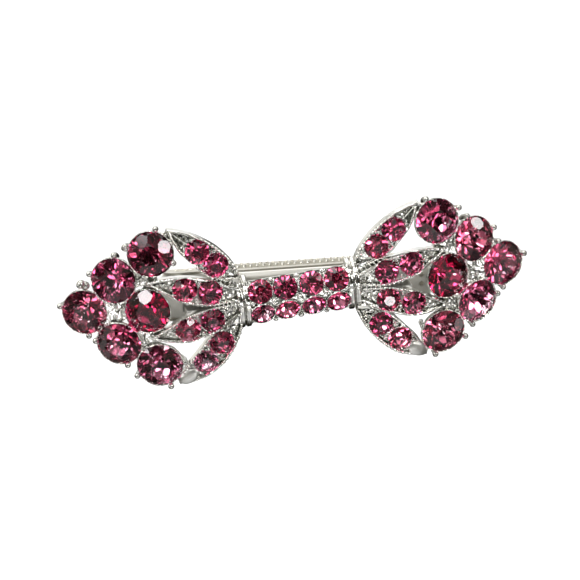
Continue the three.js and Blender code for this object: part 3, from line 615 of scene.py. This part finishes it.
# ---------------------------------------------------------------------------
# Stones: cut facet by facet from a round blank
# ---------------------------------------------------------------------------
def cut_chaton(d, seed):
    r = np.random.default_rng(seed)
    R = d / 2
    rt, h, g, pav = 0.45 * R, 0.205 * d, 0.045 * d, 0.42 * d
    bm = bmesh.new()
    bmesh.ops.create_cone(bm, cap_ends=True, segments=64, radius1=R, radius2=R, depth=2.0 * d)

    def cut(co, no):
        geom = bm.verts[:] + bm.edges[:] + bm.faces[:]
        res = bmesh.ops.bisect_plane(bm, geom=geom, dist=1e-6, plane_co=co, plane_no=no, clear_outer=True)
        edges = [e for e in res["geom_cut"] if isinstance(e, bmesh.types.BMEdge)]
        if edges:
            bmesh.ops.edgenet_fill(bm, edges=edges)

    cut((0, 0, h), (0, 0, 1))
    j = lambda k: math.radians(k * r.normal())

    def facet(ang, slope, rr, z, up=1):
        # plane through the point at radius rr, height z, sloping away from the axis
        n = Vector((math.cos(ang) * math.sin(slope), math.sin(ang) * math.sin(slope), up * math.cos(slope)))
        cut((rr * math.cos(ang), rr * math.sin(ang), z), n)

    kite = math.atan2(h, R - rt)
    for k in range(8):
        facet(k * math.pi / 4 + j(0.5), kite, R, 0.0)
    for k in range(8):  # stars: from the table edge, shallower
        a = (k + 0.5) * math.pi / 4
        facet(a + j(0.5), kite * 0.66, rt * math.cos(math.pi / 8), h)
    for k in range(16):  # upper girdle facets, steeper
        a = (k + 0.5) * math.pi / 8
        facet(a + j(0.4), kite * 1.20, R, 0.0)
    pa = math.atan2(pav, R)
    for k in range(8):
        facet((k + 0.5) * math.pi / 4 + j(0.6), pa, R, -g, -1)
    for k in range(8):
        facet(k * math.pi / 4 + j(0.6), pa * 1.035, R, -g, -1)
    bmesh.ops.recalc_face_normals(bm, faces=bm.faces[:])
    # tiny polished-over edges on the crown
    edges = [e for e in bm.edges if min(v.co.z for v in e.verts) > 0.02 * d and e.calc_length() > 0.04 * d and e.calc_face_angle(0) > 0.03]
    worn = bmesh.ops.bevel(bm, geom=edges, offset=0.011 * d, segments=1, affect="EDGES", profile=0.5, clamp_overlap=True)
    for q in bm.faces:
        q.tag = False
    for q in worn["faces"]:
        q.tag = True
    spin = r.random() * 2 * math.pi
    tilt = Matrix.Rotation(math.radians(1.6) * r.normal(), 4, "X") @ Matrix.Rotation(math.radians(1.6) * r.normal(), 4, "Y") @ Matrix.Rotation(spin, 4, "Z")
    bmesh.ops.transform(bm, matrix=tilt, verts=bm.verts[:])
    inv = tilt.inverted()
    kinds = [2 if f.tag else 0 if (inv @ f.calc_center_median()).z > -0.1 * g else 1 for f in bm.faces]
    bm.verts.ensure_lookup_table()
    v = np.array([q.co[:] for q in bm.verts])
    for i, q in enumerate(bm.verts):
        q.index = i
    f = [tuple(q.index for q in p.verts) for p in bm.faces]
    bm.free()
    return v, f, kinds


# ---------------------------------------------------------------------------
# Materials (all procedural)
# ---------------------------------------------------------------------------
class NT:
    def __init__(self, name):
        self.m = bpy.data.materials.new(name)
        self.m.use_nodes = True
        self.t = self.m.node_tree
        self.b = self.t.nodes["Principled BSDF"]

    def n(self, kind, **props):
        x = self.t.nodes.new(kind)
        for k, v in props.items():
            setattr(x, k, v)
        return x

    def link(self, a, b):
        self.t.links.new(a, b)

    def noise(self, scale, detail=3.0, rough=0.55, dist=0.0, vec=None):
        x = self.n("ShaderNodeTexNoise")
        x.inputs["Scale"].default_value = scale
        x.inputs["Detail"].default_value = detail
        x.inputs["Roughness"].default_value = rough
        x.inputs["Distortion"].default_value = dist
        if vec is None:
            if not hasattr(self, "obj"):
                self.obj = self.n("ShaderNodeTexCoord").outputs["Object"]
            vec = self.obj
        self.link(vec, x.inputs["Vector"])
        return x.outputs["Fac"]

    def ramp(self, fac, stops):
        x = self.n("ShaderNodeValToRGB")
        e = x.color_ramp.elements
        while len(e) < len(stops):
            e.new(0.5)
        for q, (p, c) in zip(e, stops):
            q.position = p
            q.color = (*c, 1) if len(c) == 3 else c
        self.link(fac, x.inputs["Fac"])
        return x.outputs["Color"]

    def maprange(self, fac, a, b, c, d):
        x = self.n("ShaderNodeMapRange")
        for k, v in zip(("From Min", "From Max", "To Min", "To Max"), (a, b, c, d)):
            x.inputs[k].default_value = v
        self.link(fac, x.inputs["Value"])
        return x.outputs["Result"]

    def mix(self, fac, a, b, mode="MIX"):
        x = self.n("ShaderNodeMix", data_type="RGBA", blend_type=mode)
        if isinstance(fac, float):
            x.inputs["Factor"].default_value = fac
        else:
            self.link(fac, x.inputs["Factor"])
        for s, v in ((x.inputs[6], a), (x.inputs[7], b)):
            if isinstance(v, tuple):
                s.default_value = (*v, 1)
            else:
                self.link(v, s)
        return x.outputs[2]

    def bump(self, height, strength, distance, normal=None):
        x = self.n("ShaderNodeBump")
        x.inputs["Strength"].default_value = strength
        x.inputs["Distance"].default_value = distance
        self.link(height, x.inputs["Height"])
        if normal is not None:
            self.link(normal, x.inputs["Normal"])
        return x.outputs["Normal"]


def rhodium():
    k = NT("bright_rhodium")
    b = k.b
    b.inputs["Metallic"].default_value = 1.0
    cav = k.n("ShaderNodeAttribute", attribute_name="recess").outputs["Fac"]
    cloud = k.noise(900, 3, 0.6)
    base = k.ramp(cloud, [(0.30, (0.84, 0.83, 0.79)), (0.55, (0.91, 0.905, 0.88)), (0.8, (0.96, 0.955, 0.94))])
    # painted shade: the colour goes dark grey where the recess value is high, in crevices, grooves and gaps where shade
    # falls
    painted_shade = k.mix(k.maprange(k.noise(2600, 4, 0.65), 0.35, 0.75, 0.15, 1.0), (0.24, 0.24, 0.20), (0.06, 0.06, 0.05))
    mixed = k.mix(k.maprange(cav, 0.56, 0.88, 0.0, 0.95), base, painted_shade)
    k.link(mixed, b.inputs["Base Color"])
    r1 = k.maprange(k.noise(1800, 4, 0.6), 0.3, 0.75, 0.04, 0.11)
    satin = k.n("ShaderNodeAttribute", attribute_name="satin").outputs["Fac"]
    add = k.n("ShaderNodeMath", operation="ADD")
    k.link(r1, add.inputs[0])
    k.link(k.maprange(satin, 0.0, 1.0, 0.0, 0.42), add.inputs[1])
    k.link(add.outputs[0], b.inputs["Roughness"])
    n1 = k.bump(k.noise(1300, 3, 0.55, 0.3), 0.25, 0.00004)
    n2 = k.bump(k.noise(4200, 3, 0.6), 0.5, 0.00003, n1)
    k.link(k.maprange(cav, 0.4, 0.9, 0.04, 0.20), n2.node.inputs["Strength"])
    k.link(n2, b.inputs["Normal"])
    return k.m


def nickel(name="nickel_steel", tone=(0.74, 0.705, 0.615), metal=1.0, dull=0.0, band=False, knot_shadow=False):
    k = NT(name)
    b = k.b
    b.inputs["Metallic"].default_value = metal
    tc = k.n("ShaderNodeTexCoord").outputs["Object"]
    mp = k.n("ShaderNodeMapping")
    mp.inputs["Rotation"].default_value = (0, -CROOKED, 0)
    mp.inputs["Scale"].default_value = (60, 2600, 2600)
    k.link(tc, mp.inputs["Vector"])
    streak = k.noise(1.0, 4, 0.7, vec=mp.outputs["Vector"])
    cloud = k.noise(260, 4, 0.6)
    c1 = tuple(x * 0.86 for x in tone)
    c2 = tuple(min(1, x * 1.10) for x in tone)
    col = k.ramp(cloud, [(0.30, c1), (0.52, tone), (0.75, c2)])
    col = k.mix(k.maprange(streak, 0.35, 0.7, 0.0, 0.35), col, tuple(x * 0.7 for x in tone))
    geo = k.n("ShaderNodeNewGeometry").outputs["Pointiness"]
    col = k.mix(k.maprange(geo, 0.52, 0.60, 0.0, 0.5), col, (0.95, 0.94, 0.90))
    if knot_shadow:  # painted shadow of the knot on the plate's front face, short of its bright edges
        m2 = k.n("ShaderNodeMapping")
        m2.inputs["Rotation"].default_value = (0, -CROOKED, 0)
        k.link(tc, m2.inputs["Vector"])
        sep = k.n("ShaderNodeSeparateXYZ")
        k.link(m2.outputs["Vector"], sep.inputs[0])
        far = []
        for axis, a0, a1 in (("X", 0.0074, 0.0086), ("Z", 0.00215, 0.00255)):
            q = k.n("ShaderNodeMath", operation="ABSOLUTE")
            k.link(sep.outputs[axis], q.inputs[0])
            far.append(k.maprange(q.outputs[0], a0, a1, 1.0, 0.0))
        m = k.n("ShaderNodeMath", operation="MULTIPLY")
        k.link(far[0], m.inputs[0])
        k.link(far[1], m.inputs[1])
        face = k.n("ShaderNodeMath", operation="MULTIPLY")  # on the side that carries the bow only
        k.link(m.outputs[0], face.inputs[0])
        k.link(k.maprange(sep.outputs["Y"], (3.10 - GRIP_Y) * 0.001, (3.25 - GRIP_Y) * 0.001, 1.0, 0.0), face.inputs[1])
        m3 = k.n("ShaderNodeMath", operation="MULTIPLY")
        k.link(face.outputs[0], m3.inputs[0])
        k.link(k.maprange(k.noise(700, 4, 0.6), 0.3, 0.6, 0.7, 1.0), m3.inputs[1])
        col = k.mix(m3.outputs[0], col, (0.26, 0.25, 0.205))
    if band:  # painted shade on the knurled band of the two flanges
        m2 = k.n("ShaderNodeMapping")
        m2.inputs["Rotation"].default_value = (0, -CROOKED, 0)
        k.link(tc, m2.inputs["Vector"])
        sep = k.n("ShaderNodeSeparateXYZ")
        k.link(m2.outputs["Vector"], sep.inputs[0])
        zabs = k.n("ShaderNodeMath", operation="ABSOLUTE")
        k.link(sep.outputs["Z"], zabs.inputs[0])
        edge = k.maprange(zabs.outputs[0], 0.00285, 0.00295, 0.0, 1.0)
        lo = k.maprange(sep.outputs["Y"], BAND[0], BAND[0] + 0.0004, 0.0, 1.0)
        hi = k.maprange(sep.outputs["Y"], BAND[1] - 0.0005, BAND[1], 1.0, 0.0)
        m = k.n("ShaderNodeMath", operation="MULTIPLY")
        k.link(edge, m.inputs[0])
        k.link(lo, m.inputs[1])
        m3 = k.n("ShaderNodeMath", operation="MULTIPLY")
        k.link(m.outputs[0], m3.inputs[0])
        k.link(hi, m3.inputs[1])
        m4 = k.n("ShaderNodeMath", operation="MULTIPLY")
        k.link(m3.outputs[0], m4.inputs[0])
        k.link(k.maprange(k.noise(1500, 3, 0.6), 0.3, 0.65, 0.75, 1.0), m4.inputs[1])
        col = k.mix(m4.outputs[0], col, tuple(x * y for x, y in zip(tone, (0.50, 0.49, 0.42))))
    k.link(col, b.inputs["Base Color"])
    k.link(k.maprange(streak, 0.3, 0.75, 0.20 + dull, 0.38 + dull), b.inputs["Roughness"])
    n1 = k.bump(streak, 0.25, 0.00003)
    n2 = k.bump(k.noise(700, 3, 0.5), 0.25, 0.00008, n1)
    k.link(n2, b.inputs["Normal"])
    return k.m


def solder():
    k = NT("solder")
    b = k.b
    b.inputs["Metallic"].default_value = 1.0
    c = k.noise(900, 5, 0.65)
    k.link(k.ramp(c, [(0.3, (0.34, 0.34, 0.33)), (0.6, (0.55, 0.55, 0.53)), (0.8, (0.68, 0.68, 0.65))]), b.inputs["Base Color"])
    k.link(k.maprange(c, 0.3, 0.8, 0.30, 0.55), b.inputs["Roughness"])
    k.link(k.bump(k.noise(1400, 4, 0.6, 0.4), 0.5, 0.00012), b.inputs["Normal"])
    return k.m


def glass(name, tint, ior=1.58):
    k = NT(name)
    b = k.b
    b.inputs["IOR"].default_value = ior
    b.inputs["Transmission Weight"].default_value = 1.0
    sw = k.noise(420, 2, 0.5, 0.6)
    k.link(k.mix(sw, tint, tuple(min(1.0, c * 0.88) for c in tint)), b.inputs["Base Color"])
    k.link(k.maprange(k.noise(3000, 3, 0.6), 0.55, 0.80, 0.0, 0.035), b.inputs["Roughness"])
    k.link(k.bump(k.noise(1100, 2, 0.5), 0.02, 0.00001), b.inputs["Normal"])
    return k.m


def worn_edge(name, tint):
    k = NT(name)
    b = k.b
    b.inputs["IOR"].default_value = 1.58
    b.inputs["Transmission Weight"].default_value = 0.62
    k.link(k.mix(k.noise(2600, 3, 0.6), tint, tuple(min(1.0, c * 0.8) for c in tint)), b.inputs["Base Color"])
    k.link(k.maprange(k.noise(3600, 3, 0.6), 0.3, 0.8, 0.15, 0.40), b.inputs["Roughness"])
    return k.m


def foil(name, a, c):
    k = NT(name)
    b = k.b
    b.inputs["Metallic"].default_value = 1.0
    f = k.noise(800, 3, 0.6, 0.4)
    k.link(k.ramp(f, [(0.32, a), (0.68, c)]), b.inputs["Base Color"])
    k.link(k.maprange(k.noise(2400, 3, 0.6), 0.35, 0.8, 0.05, 0.13), b.inputs["Roughness"])
    return k.m


BAND = ((4.75 - GRIP_Y) * 0.001, (6.75 - GRIP_Y) * 0.001)  # depths of the knurled band of the arm
MAT_RH = rhodium()
MAT_NI = nickel()
MAT_ARM = nickel("nickel_arm", band=True)
# painted light: the plate's nickel is a lighter, less metallic copy that brightens it where the wings shade it; it is
# also rougher
MAT_PL = nickel("nickel_satin_painted_light", (0.95, 0.925, 0.85), 0.32, 0.15, knot_shadow=True)
# painted highlight: a lighter copy of the arm's nickel for the knurl beads, so they show as bright dots
MAT_NI2 = nickel("nickel_painted_highlight", (0.93, 0.90, 0.82))
MAT_SO = solder()
GLASS = [glass("rose_glass", (0.95, 0.62, 0.77)), glass("rose_glass_b", (0.94, 0.61, 0.78)), glass("rose_glass_c", (0.95, 0.62, 0.75))]
FOIL = {}
# painted light: lighter copies of one rose foil, lighter for the right wing's stones than the left's and lightest for
# the small chips
for tag, painted_light_gain in (("left", 1.07), ("right", 1.22), ("small", 1.62)):
    g = lambda c: tuple(min(0.97, q * painted_light_gain) for q in c)
    FOIL[tag] = [foil("rose_foil_%s_%d" % (tag, i), g(a), g(c)) for i, (a, c) in enumerate((((0.56, 0.24, 0.33), (0.67, 0.31, 0.395)), ((0.54, 0.22, 0.315), (0.65, 0.29, 0.385)), ((0.57, 0.24, 0.32), (0.68, 0.31, 0.385))))]
RUBY = (glass("ruby_glass", (0.90, 0.35, 0.52)), foil("ruby_foil", (0.58, 0.11, 0.25), (0.67, 0.145, 0.30)))
EDGE = (worn_edge("rose_edge", (0.78, 0.38, 0.50)), worn_edge("ruby_edge", (0.66, 0.20, 0.30)))


# ---------------------------------------------------------------------------
# Objects
# ---------------------------------------------------------------------------
def finish_piece(ob, body, *nodes, slot=None):
    bpy.context.scene.collection.objects.link(ob)
    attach(ob, body)
    if nodes:
        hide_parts(*nodes)
    return ob


def casting(name, built, node):
    v, f, T = built
    # recess measure from the local shape: how far a point lies behind the skin round it
    tv, tf = T.arrays() if T.n else (np.zeros((0, 3)), [])
    body = new_mesh(name, np.vstack([to_row(v), to_row(tv)]) if T.n else to_row(v), list(f) + [tuple(i + len(v) for i in q) for q in tf])
    for p in body.polygons:
        p.use_smooth = True
    bm = bmesh.new()
    bm.from_mesh(body)
    bmesh.ops.recalc_face_normals(bm, faces=bm.faces[:])
    bm.to_mesh(body)
    bm.free()
    rec = np.zeros(len(body.vertices), np.float32)
    rec[: len(v)] = RECESS[node]
    rec[len(v):] = 0.67 if node in SATIN else 0.58  # painted shade: the beads and ball prongs take a recess value that greys their colour, the wing's ball prongs most
    at = body.attributes.new("recess", "FLOAT", "POINT")
    at.data.foreach_set("value", rec)
    sat = np.zeros(len(body.vertices), np.float32)
    sat[len(v):] = 0.22 if node in SATIN else 0.0
    if node in SATIN:
        c, ax = SATIN[node]
        q = (v - c) @ np.linalg.inv(ax)
        sat[: len(v)] = np.clip(1.6 - 1.2 * np.linalg.norm(q * np.array([1, 0.45, 1]), axis=1), 0, 1)
        # the flat of the lug behind the two middle leaves is left matt too
        x, z = np.abs(v[:, 0]), np.abs(v[:, 2])
        lug = np.clip((v[:, 1] - 0.45) / 0.2, 0, 1) * np.clip((x - 11.6) / 0.3, 0, 1) * np.clip((16.2 - x) / 0.3, 0, 1) * np.clip((2.5 - z) / 0.3, 0, 1)
        sat[: len(v)] = np.maximum(sat[: len(v)], 0.85 * lug)
        # the matt lobe and lug get less of the painted shade
        rec[: len(v)] *= 1 - sat[: len(v)]
        at.data.foreach_set("value", rec)
    at2 = body.attributes.new("satin", "FLOAT", "POINT")
    at2.data.foreach_set("value", sat)
    body.materials.append(MAT_RH)
    ob = bpy.data.objects.new(name, body)
    return finish_piece(ob, "bow", node, slot="bright_rhodium")


def recess_of(v, f, rounds=24, depth=0.085):
    """how far a point of a dense skin lies under the smoothed surface round it: 0.5 on a flat, 1 in a crevice"""
    n = vertex_normals(v, f)
    quads = np.array([q if len(q) == 4 else (*q, q[-1]) for q in f])
    a, b = quads.T.ravel(), np.roll(quads.T, -1, axis=0).ravel()
    src, dst = np.concatenate([a, b]), np.concatenate([b, a])
    cnt = np.maximum(np.bincount(dst, minlength=len(v)), 1)[:, None]
    p = v.copy()
    for _ in range(rounds):
        acc = np.stack([np.bincount(dst, weights=p[src, k], minlength=len(v)) for k in range(3)], 1)
        p = 0.5 * p + 0.5 * acc / cnt
    off = np.sum((p - v) * n, axis=1)
    fine = np.clip(0.5 + off / (2 * depth), 0, 1)
    for _ in range(2 * rounds):
        acc = np.stack([np.bincount(dst, weights=p[src, k], minlength=len(v)) for k in range(3)], 1)
        p = 0.5 * p + 0.5 * acc / cnt
    off = np.sum((p - v) * n, axis=1)
    wide = np.clip(0.5 + off / (2 * 1.9 * depth), 0, 1)
    return np.maximum(fine, 0.95 * wide).astype(np.float32)


RECESS, SATIN = {}, {}
for name, side, node in (("right_wing", 1, "right_wing_casting"), ("left_wing", -1, "left_wing_casting")):
    built = build_wing(side)
    SATIN[node] = (LOBE_C * np.array([side, 1, 1]), np.array([LOBE_AX[0] * np.array([side, 1, 1]), LOBE_AX[1], LOBE_AX[2] * np.array([side, 1, 1])]))
    RECESS[node] = recess_of(built[0], built[1])
    casting(name, built, node)
built = build_knot()
RECESS["knot_casting"] = recess_of(built[0], built[1])
# painted shade: the knot's skin past 41 degrees round from its front, along its top back rim by the plate, gets a high
# recess value and so darkens
_q = unaskew(built[0])
_ang = np.degrees(np.arctan2(_q[:, 2], KNOT_CY - _q[:, 1]))
RECESS["knot_casting"] = np.clip(np.maximum(RECESS["knot_casting"], 0.72 * np.clip((_ang - 41) / 4.0, 0, 1) * (np.abs(_q[:, 0]) < 7.4)), 0, 1).astype(np.float32)
casting("knot", built, "knot_casting")

count = 0
for prefix, seats in (("right_", wing_seats(1)), ("left_", wing_seats(-1)), ("", KNOT)):
    for s in seats:
        count += 1
        v, f, kinds = cut_chaton(s.d, 100 + count)
        v = s.out(v)
        me = new_mesh(prefix + s.name + "_cut", to_row(v if prefix else askew(v)), f)
        ruby = s.name == "stone_center"
        k = count % 3
        me.materials.append(RUBY[0] if ruby else GLASS[k])
        me.materials.append(RUBY[1] if ruby else FOIL["small" if s.d < 4 else "right" if prefix == "right_" else "left"][k])
        me.materials.append(EDGE[1] if ruby else EDGE[0])
        for p, kind in zip(me.polygons, kinds):
            p.use_smooth = False
            p.material_index = kind
        ob = bpy.data.objects.new(prefix + s.name + "_cut", me)
        finish_piece(ob, "bow", prefix + s.name, slot="ruby_glass" if ruby else "rose_glass")

# the barrette keeps its CAD solids, with rounded stamped edges and a brushed nickel finish
for n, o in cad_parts.items():
    if o.hide_render:
        continue
    mat = MAT_SO if n.startswith("solder") else MAT_ARM if n == "locking_arm" else MAT_PL if n == "base_plate" else MAT_NI
    o.data.materials.clear()
    o.data.materials.append(mat)
    bev = o.modifiers.new("edge", "BEVEL")
    bev.width, bev.segments, bev.limit_method, bev.angle_limit = 0.00006, 2, "ANGLE", math.radians(35)
    bev.use_clamp_overlap = True

# serrated flanges of the arm: a row of beads on the back corner, slanting ribs below it
knurl = Shells()
for sgn in (1, -1):
    x = -11.3
    while x < 15.0:
        knurl.add(*blob((x, 6.98, 2.97 * sgn), np.array([[0.24, 0, 0], [0, 0.17, 0], [0, 0, 0.20]]), 2))
        if x < 14.2:
            knurl.add(*blob((x + 0.22, 5.80, 2.98 * sgn), np.array([[0.24, 0.05, 0], [0.10, 0.46, 0], [0, 0, 0.24]]), 2))
        x += 0.87
kv, kfaces = knurl.arrays()
knurl_mesh = new_mesh("arm_knurl", to_row(barrette_to_bow(kv)), kfaces)
for p in knurl_mesh.polygons:
    p.use_smooth = True
knurl_mesh.materials.append(MAT_NI2)
finish_piece(bpy.data.objects.new("arm_knurl", knurl_mesh), "locking_arm", slot="nickel_steel")

# ---------------------------------------------------------------------------
# Floor, light, camera
# ---------------------------------------------------------------------------
FLOOR_Z = -0.034
bpy.ops.mesh.primitive_plane_add(size=6.0, location=(0, 0, FLOOR_Z))
floor = bpy.context.object
floor.name = "floor"
kf = NT("floor_white")
kf.b.inputs["Base Color"].default_value = (0.93, 0.93, 0.93, 1)
kf.b.inputs["Roughness"].default_value = 0.9
floor.data.materials.append(kf.m)
floor.visible_glossy = False
floor.visible_transmission = False

# camera: solved from the places of the stones
az, el, roll, tx, ty, px_mm, dist = -7.797, 18.881, -4.208, 10.90, 7.41, 7.47, 400.0
a, e, r = az * D2R, el * D2R, roll * D2R
back = np.array([math.sin(a) * math.cos(e), -math.cos(a) * math.cos(e), math.sin(e)])
right = np.array([math.cos(a), math.sin(a), 0.0])
up = np.cross(back, right)
R2 = math.cos(r) * right + math.sin(r) * up
U2 = -math.sin(r) * right + math.cos(r) * up
loc = back * dist - (tx / px_mm) * R2 + (ty / px_mm) * U2
loc[1] -= GRIP_Y
cam_data = bpy.data.cameras.new("camera")
cam = bpy.data.objects.new("camera", cam_data)
bpy.context.scene.collection.objects.link(cam)
cam_data.sensor_width = 36.0
cam_data.lens = px_mm * dist / 580 * 36.0
cam_data.clip_start, cam_data.clip_end = 0.01, 20.0
M = Matrix(((R2[0], U2[0], back[0], loc[0] * 0.001), (R2[1], U2[1], back[1], loc[1] * 0.001), (R2[2], U2[2], back[2], loc[2] * 0.001), (0, 0, 0, 1)))
cam.matrix_world = M
bpy.context.scene.camera = cam


def area(name, pos, target, size, power, color=(1, 1, 1)):
    d = bpy.data.lights.new(name, "AREA")
    d.shape = "RECTANGLE"
    d.size, d.size_y = size
    d.energy = power
    d.color = color
    o = bpy.data.objects.new(name, d)
    o.location = pos
    o.rotation_euler = (Vector(target) - Vector(pos)).to_track_quat("-Z", "Y").to_euler()
    bpy.context.scene.collection.objects.link(o)
    o.visible_camera = False
    return o


def from_camera(x, y, z, dist):
    p = (x * R2 + y * U2 + z * back) * dist
    return (p[0], p[1], p[2])


area("key", from_camera(-0.42, 0.52, 0.75, 0.55), (0, 0, 0), (0.075, 0.075), 0.30)
area("second", from_camera(0.50, 0.34, 0.80, 0.55), (0, 0, 0), (0.06, 0.09), 0.25, (1.0, 0.98, 0.95))
area("low", from_camera(0.10, -0.40, 0.90, 0.60), (0, 0, 0), (0.07, 0.05), 0.12)
area("side", from_camera(-0.85, 0.05, 0.50, 0.55), (0, 0, 0), (0.06, 0.10), 0.22)

world = bpy.data.worlds.new("studio")
bpy.context.scene.world = world
world.use_nodes = True
wt = world.node_tree
wt.nodes.clear()


def wnode(kind, **p):
    x = wt.nodes.new(kind)
    for k, v in p.items():
        setattr(x, k, v)
    return x


def wmath(op, a, b=None, clamp=False):
    x = wnode("ShaderNodeMath", operation=op, use_clamp=clamp)
    for s, v in zip(x.inputs, (a, b)):
        if v is None:
            continue
        if isinstance(v, (int, float)):
            s.default_value = v
        else:
            wt.links.new(v, s)
    return x.outputs[0]


def wmap(v, a, b, c, d):
    x = wnode("ShaderNodeMapRange", interpolation_type="SMOOTHSTEP")
    for k, q in zip(("From Min", "From Max", "To Min", "To Max"), (a, b, c, d)):
        x.inputs[k].default_value = q
    wt.links.new(v, x.inputs["Value"])
    return x.outputs["Result"]


tc = wnode("ShaderNodeTexCoord").outputs["Generated"]
nrm = wnode("ShaderNodeVectorMath", operation="NORMALIZE")
wt.links.new(tc, nrm.inputs[0])
D = nrm.outputs[0]


def lobe(direction, inner, outer, value):
    """value inside a cone round a direction, fading to 0 at its outer angle (degrees)"""
    q = Vector(direction).normalized()
    x = wnode("ShaderNodeVectorMath", operation="DOT_PRODUCT")
    wt.links.new(D, x.inputs[0])
    x.inputs[1].default_value = q
    return wmap(x.outputs["Value"], math.cos(outer * D2R), math.cos(inner * D2R), 0.0, value)


def wnoise(scale, detail, off):
    mp = wnode("ShaderNodeMapping")
    mp.inputs["Location"].default_value = off
    wt.links.new(D, mp.inputs["Vector"])
    x = wnode("ShaderNodeTexNoise")
    x.inputs["Scale"].default_value = scale
    x.inputs["Detail"].default_value = detail
    wt.links.new(mp.outputs[0], x.inputs["Vector"])
    return x.outputs["Fac"]


def cam_dir(x, y, z):
    return x * R2 + y * U2 + z * back


def vmath(op, a, b):
    x = wnode("ShaderNodeVectorMath", operation=op)
    wt.links.new(a, x.inputs[0])
    if op == "SCALE":
        wt.links.new(b, x.inputs["Scale"])
    else:
        wt.links.new(b, x.inputs[1])
    return x.outputs[0]


# rooms of light, middle grey and dark, softly edged
ramp = wnode("ShaderNodeValToRGB")
els = ramp.color_ramp.elements
for _ in range(3):
    els.new(0.5)
for q, (pos, col) in zip(els, ((0.0, (0.012, 0.012, 0.010)), (0.455, (0.02, 0.02, 0.017)), (0.488, (0.19, 0.182, 0.152)), (0.552, (0.34, 0.326, 0.275)), (0.612, (1.15, 1.13, 1.07)))):
    q.position = pos
    q.color = (*col, 1)
wt.links.new(wnoise(2.1, 1.5, (0.3, 1.1, 2.0)), ramp.inputs["Fac"])
bd = wnode("ShaderNodeVectorMath", operation="DOT_PRODUCT")
wt.links.new(D, bd.inputs[0])
bd.inputs[1].default_value = tuple(back)
hemi = wmap(bd.outputs["Value"], -0.45, 0.15, 0.65, 1.0)
dark = wmath("SUBTRACT", 1.0, lobe(back, 8, 34, 0.58))
ud = wnode("ShaderNodeVectorMath", operation="DOT_PRODUCT")
wt.links.new(D, ud.inputs[0])
ud.inputs[1].default_value = tuple(U2)
hemi = wmath("MULTIPLY", hemi, wmap(ud.outputs["Value"], -0.55, 0.45, 0.60, 1.20))
hemi = wmath("MULTIPLY", hemi, wmath("SUBTRACT", 1.0, lobe(-back, 12, 32, 0.88)))
colour = vmath("SCALE", ramp.outputs["Color"], wmath("MULTIPLY", hemi, dark))
val = None
for dr, i, o, q in ((cam_dir(-0.55, 0.70, 0.48), 5.5, 7, 15.0), (cam_dir(0.25, 0.62, 0.75), 4, 5, 15.0), (cam_dir(0.80, 0.20, 0.55), 4, 5, 14.0), (cam_dir(-0.15, 0.95, 0.1), 9, 14, 2.5),
                    (cam_dir(-0.75, -0.30, 0.55), 3, 4, 14.0), (cam_dir(0.35, -0.62, 0.70), 3, 4, 14.0), (cam_dir(-0.30, 0.22, 0.92), 2, 3, 15.0), (cam_dir(0.62, 0.75, 0.15), 3, 4.5, 12.0), (cam_dir(-0.20, -0.85, 0.45), 2.5, 3.5, 12.0), (cam_dir(0.95, -0.15, -0.2), 6, 10, 1.5),
                    (np.array([0.17, 0.88, 0.45]), 16, 28, 0.95), (np.array([0.10, -0.937, -0.324]), 9, 24, 0.42), (np.array([0.0, 0.1, 1.0]), 12, 26, 1.3), (cam_dir(0.05, -1.0, 0.15), 12, 42, 0.55)):
    lb = lobe(dr, i, o, q)
    val = lb if val is None else wmath("ADD", val, lb)
# seen through the stones the lamps look wider, as the foil cups gather them
lp = wnode("ShaderNodeLightPath")
wide = None
for dr, o, q in ((cam_dir(-0.55, 0.70, 0.48), 12, 10.0), (cam_dir(0.25, 0.62, 0.75), 9, 10.0), (cam_dir(0.80, 0.20, 0.55), 9, 9.0), (cam_dir(-0.75, -0.30, 0.55), 8, 9.0),
                 (cam_dir(0.35, -0.62, 0.70), 8, 9.0), (cam_dir(-0.30, 0.22, 0.92), 6, 9.0), (cam_dir(0.62, 0.75, 0.15), 8, 8.0), (cam_dir(-0.20, -0.85, 0.45), 7, 8.0)):
    lb = lobe(dr, o * 0.75, o, q)
    wide = lb if wide is None else wmath("ADD", wide, lb)
inside = lp.outputs["Is Transmission Ray"]
colour = vmath("SCALE", colour, wmath("SUBTRACT", 1.0, wmath("MULTIPLY", inside, 0.28)))
val = wmath("ADD", val, wmath("MULTIPLY", inside, wide))
comb = wnode("ShaderNodeCombineXYZ")
for k in range(3):
    wt.links.new(val, comb.inputs[k])
colour = vmath("ADD", colour, comb.outputs[0])
studio = wnode("ShaderNodeBackground")
wt.links.new(colour, studio.inputs["Color"])
studio.inputs["Strength"].default_value = 1.0
plain = wnode("ShaderNodeBackground")
plain.inputs["Color"].default_value = (1, 1, 1, 1)
plain.inputs["Strength"].default_value = 1.02
sel = wmath("MAXIMUM", lp.outputs["Is Camera Ray"], lp.outputs["Is Diffuse Ray"])
mixw = wnode("ShaderNodeMixShader")
wt.links.new(sel, mixw.inputs[0])
wt.links.new(studio.outputs[0], mixw.inputs[1])
wt.links.new(plain.outputs[0], mixw.inputs[2])
outw = wnode("ShaderNodeOutputWorld")
wt.links.new(mixw.outputs[0], outw.inputs["Surface"])

bpy.context.scene.view_settings.view_transform = "Standard"
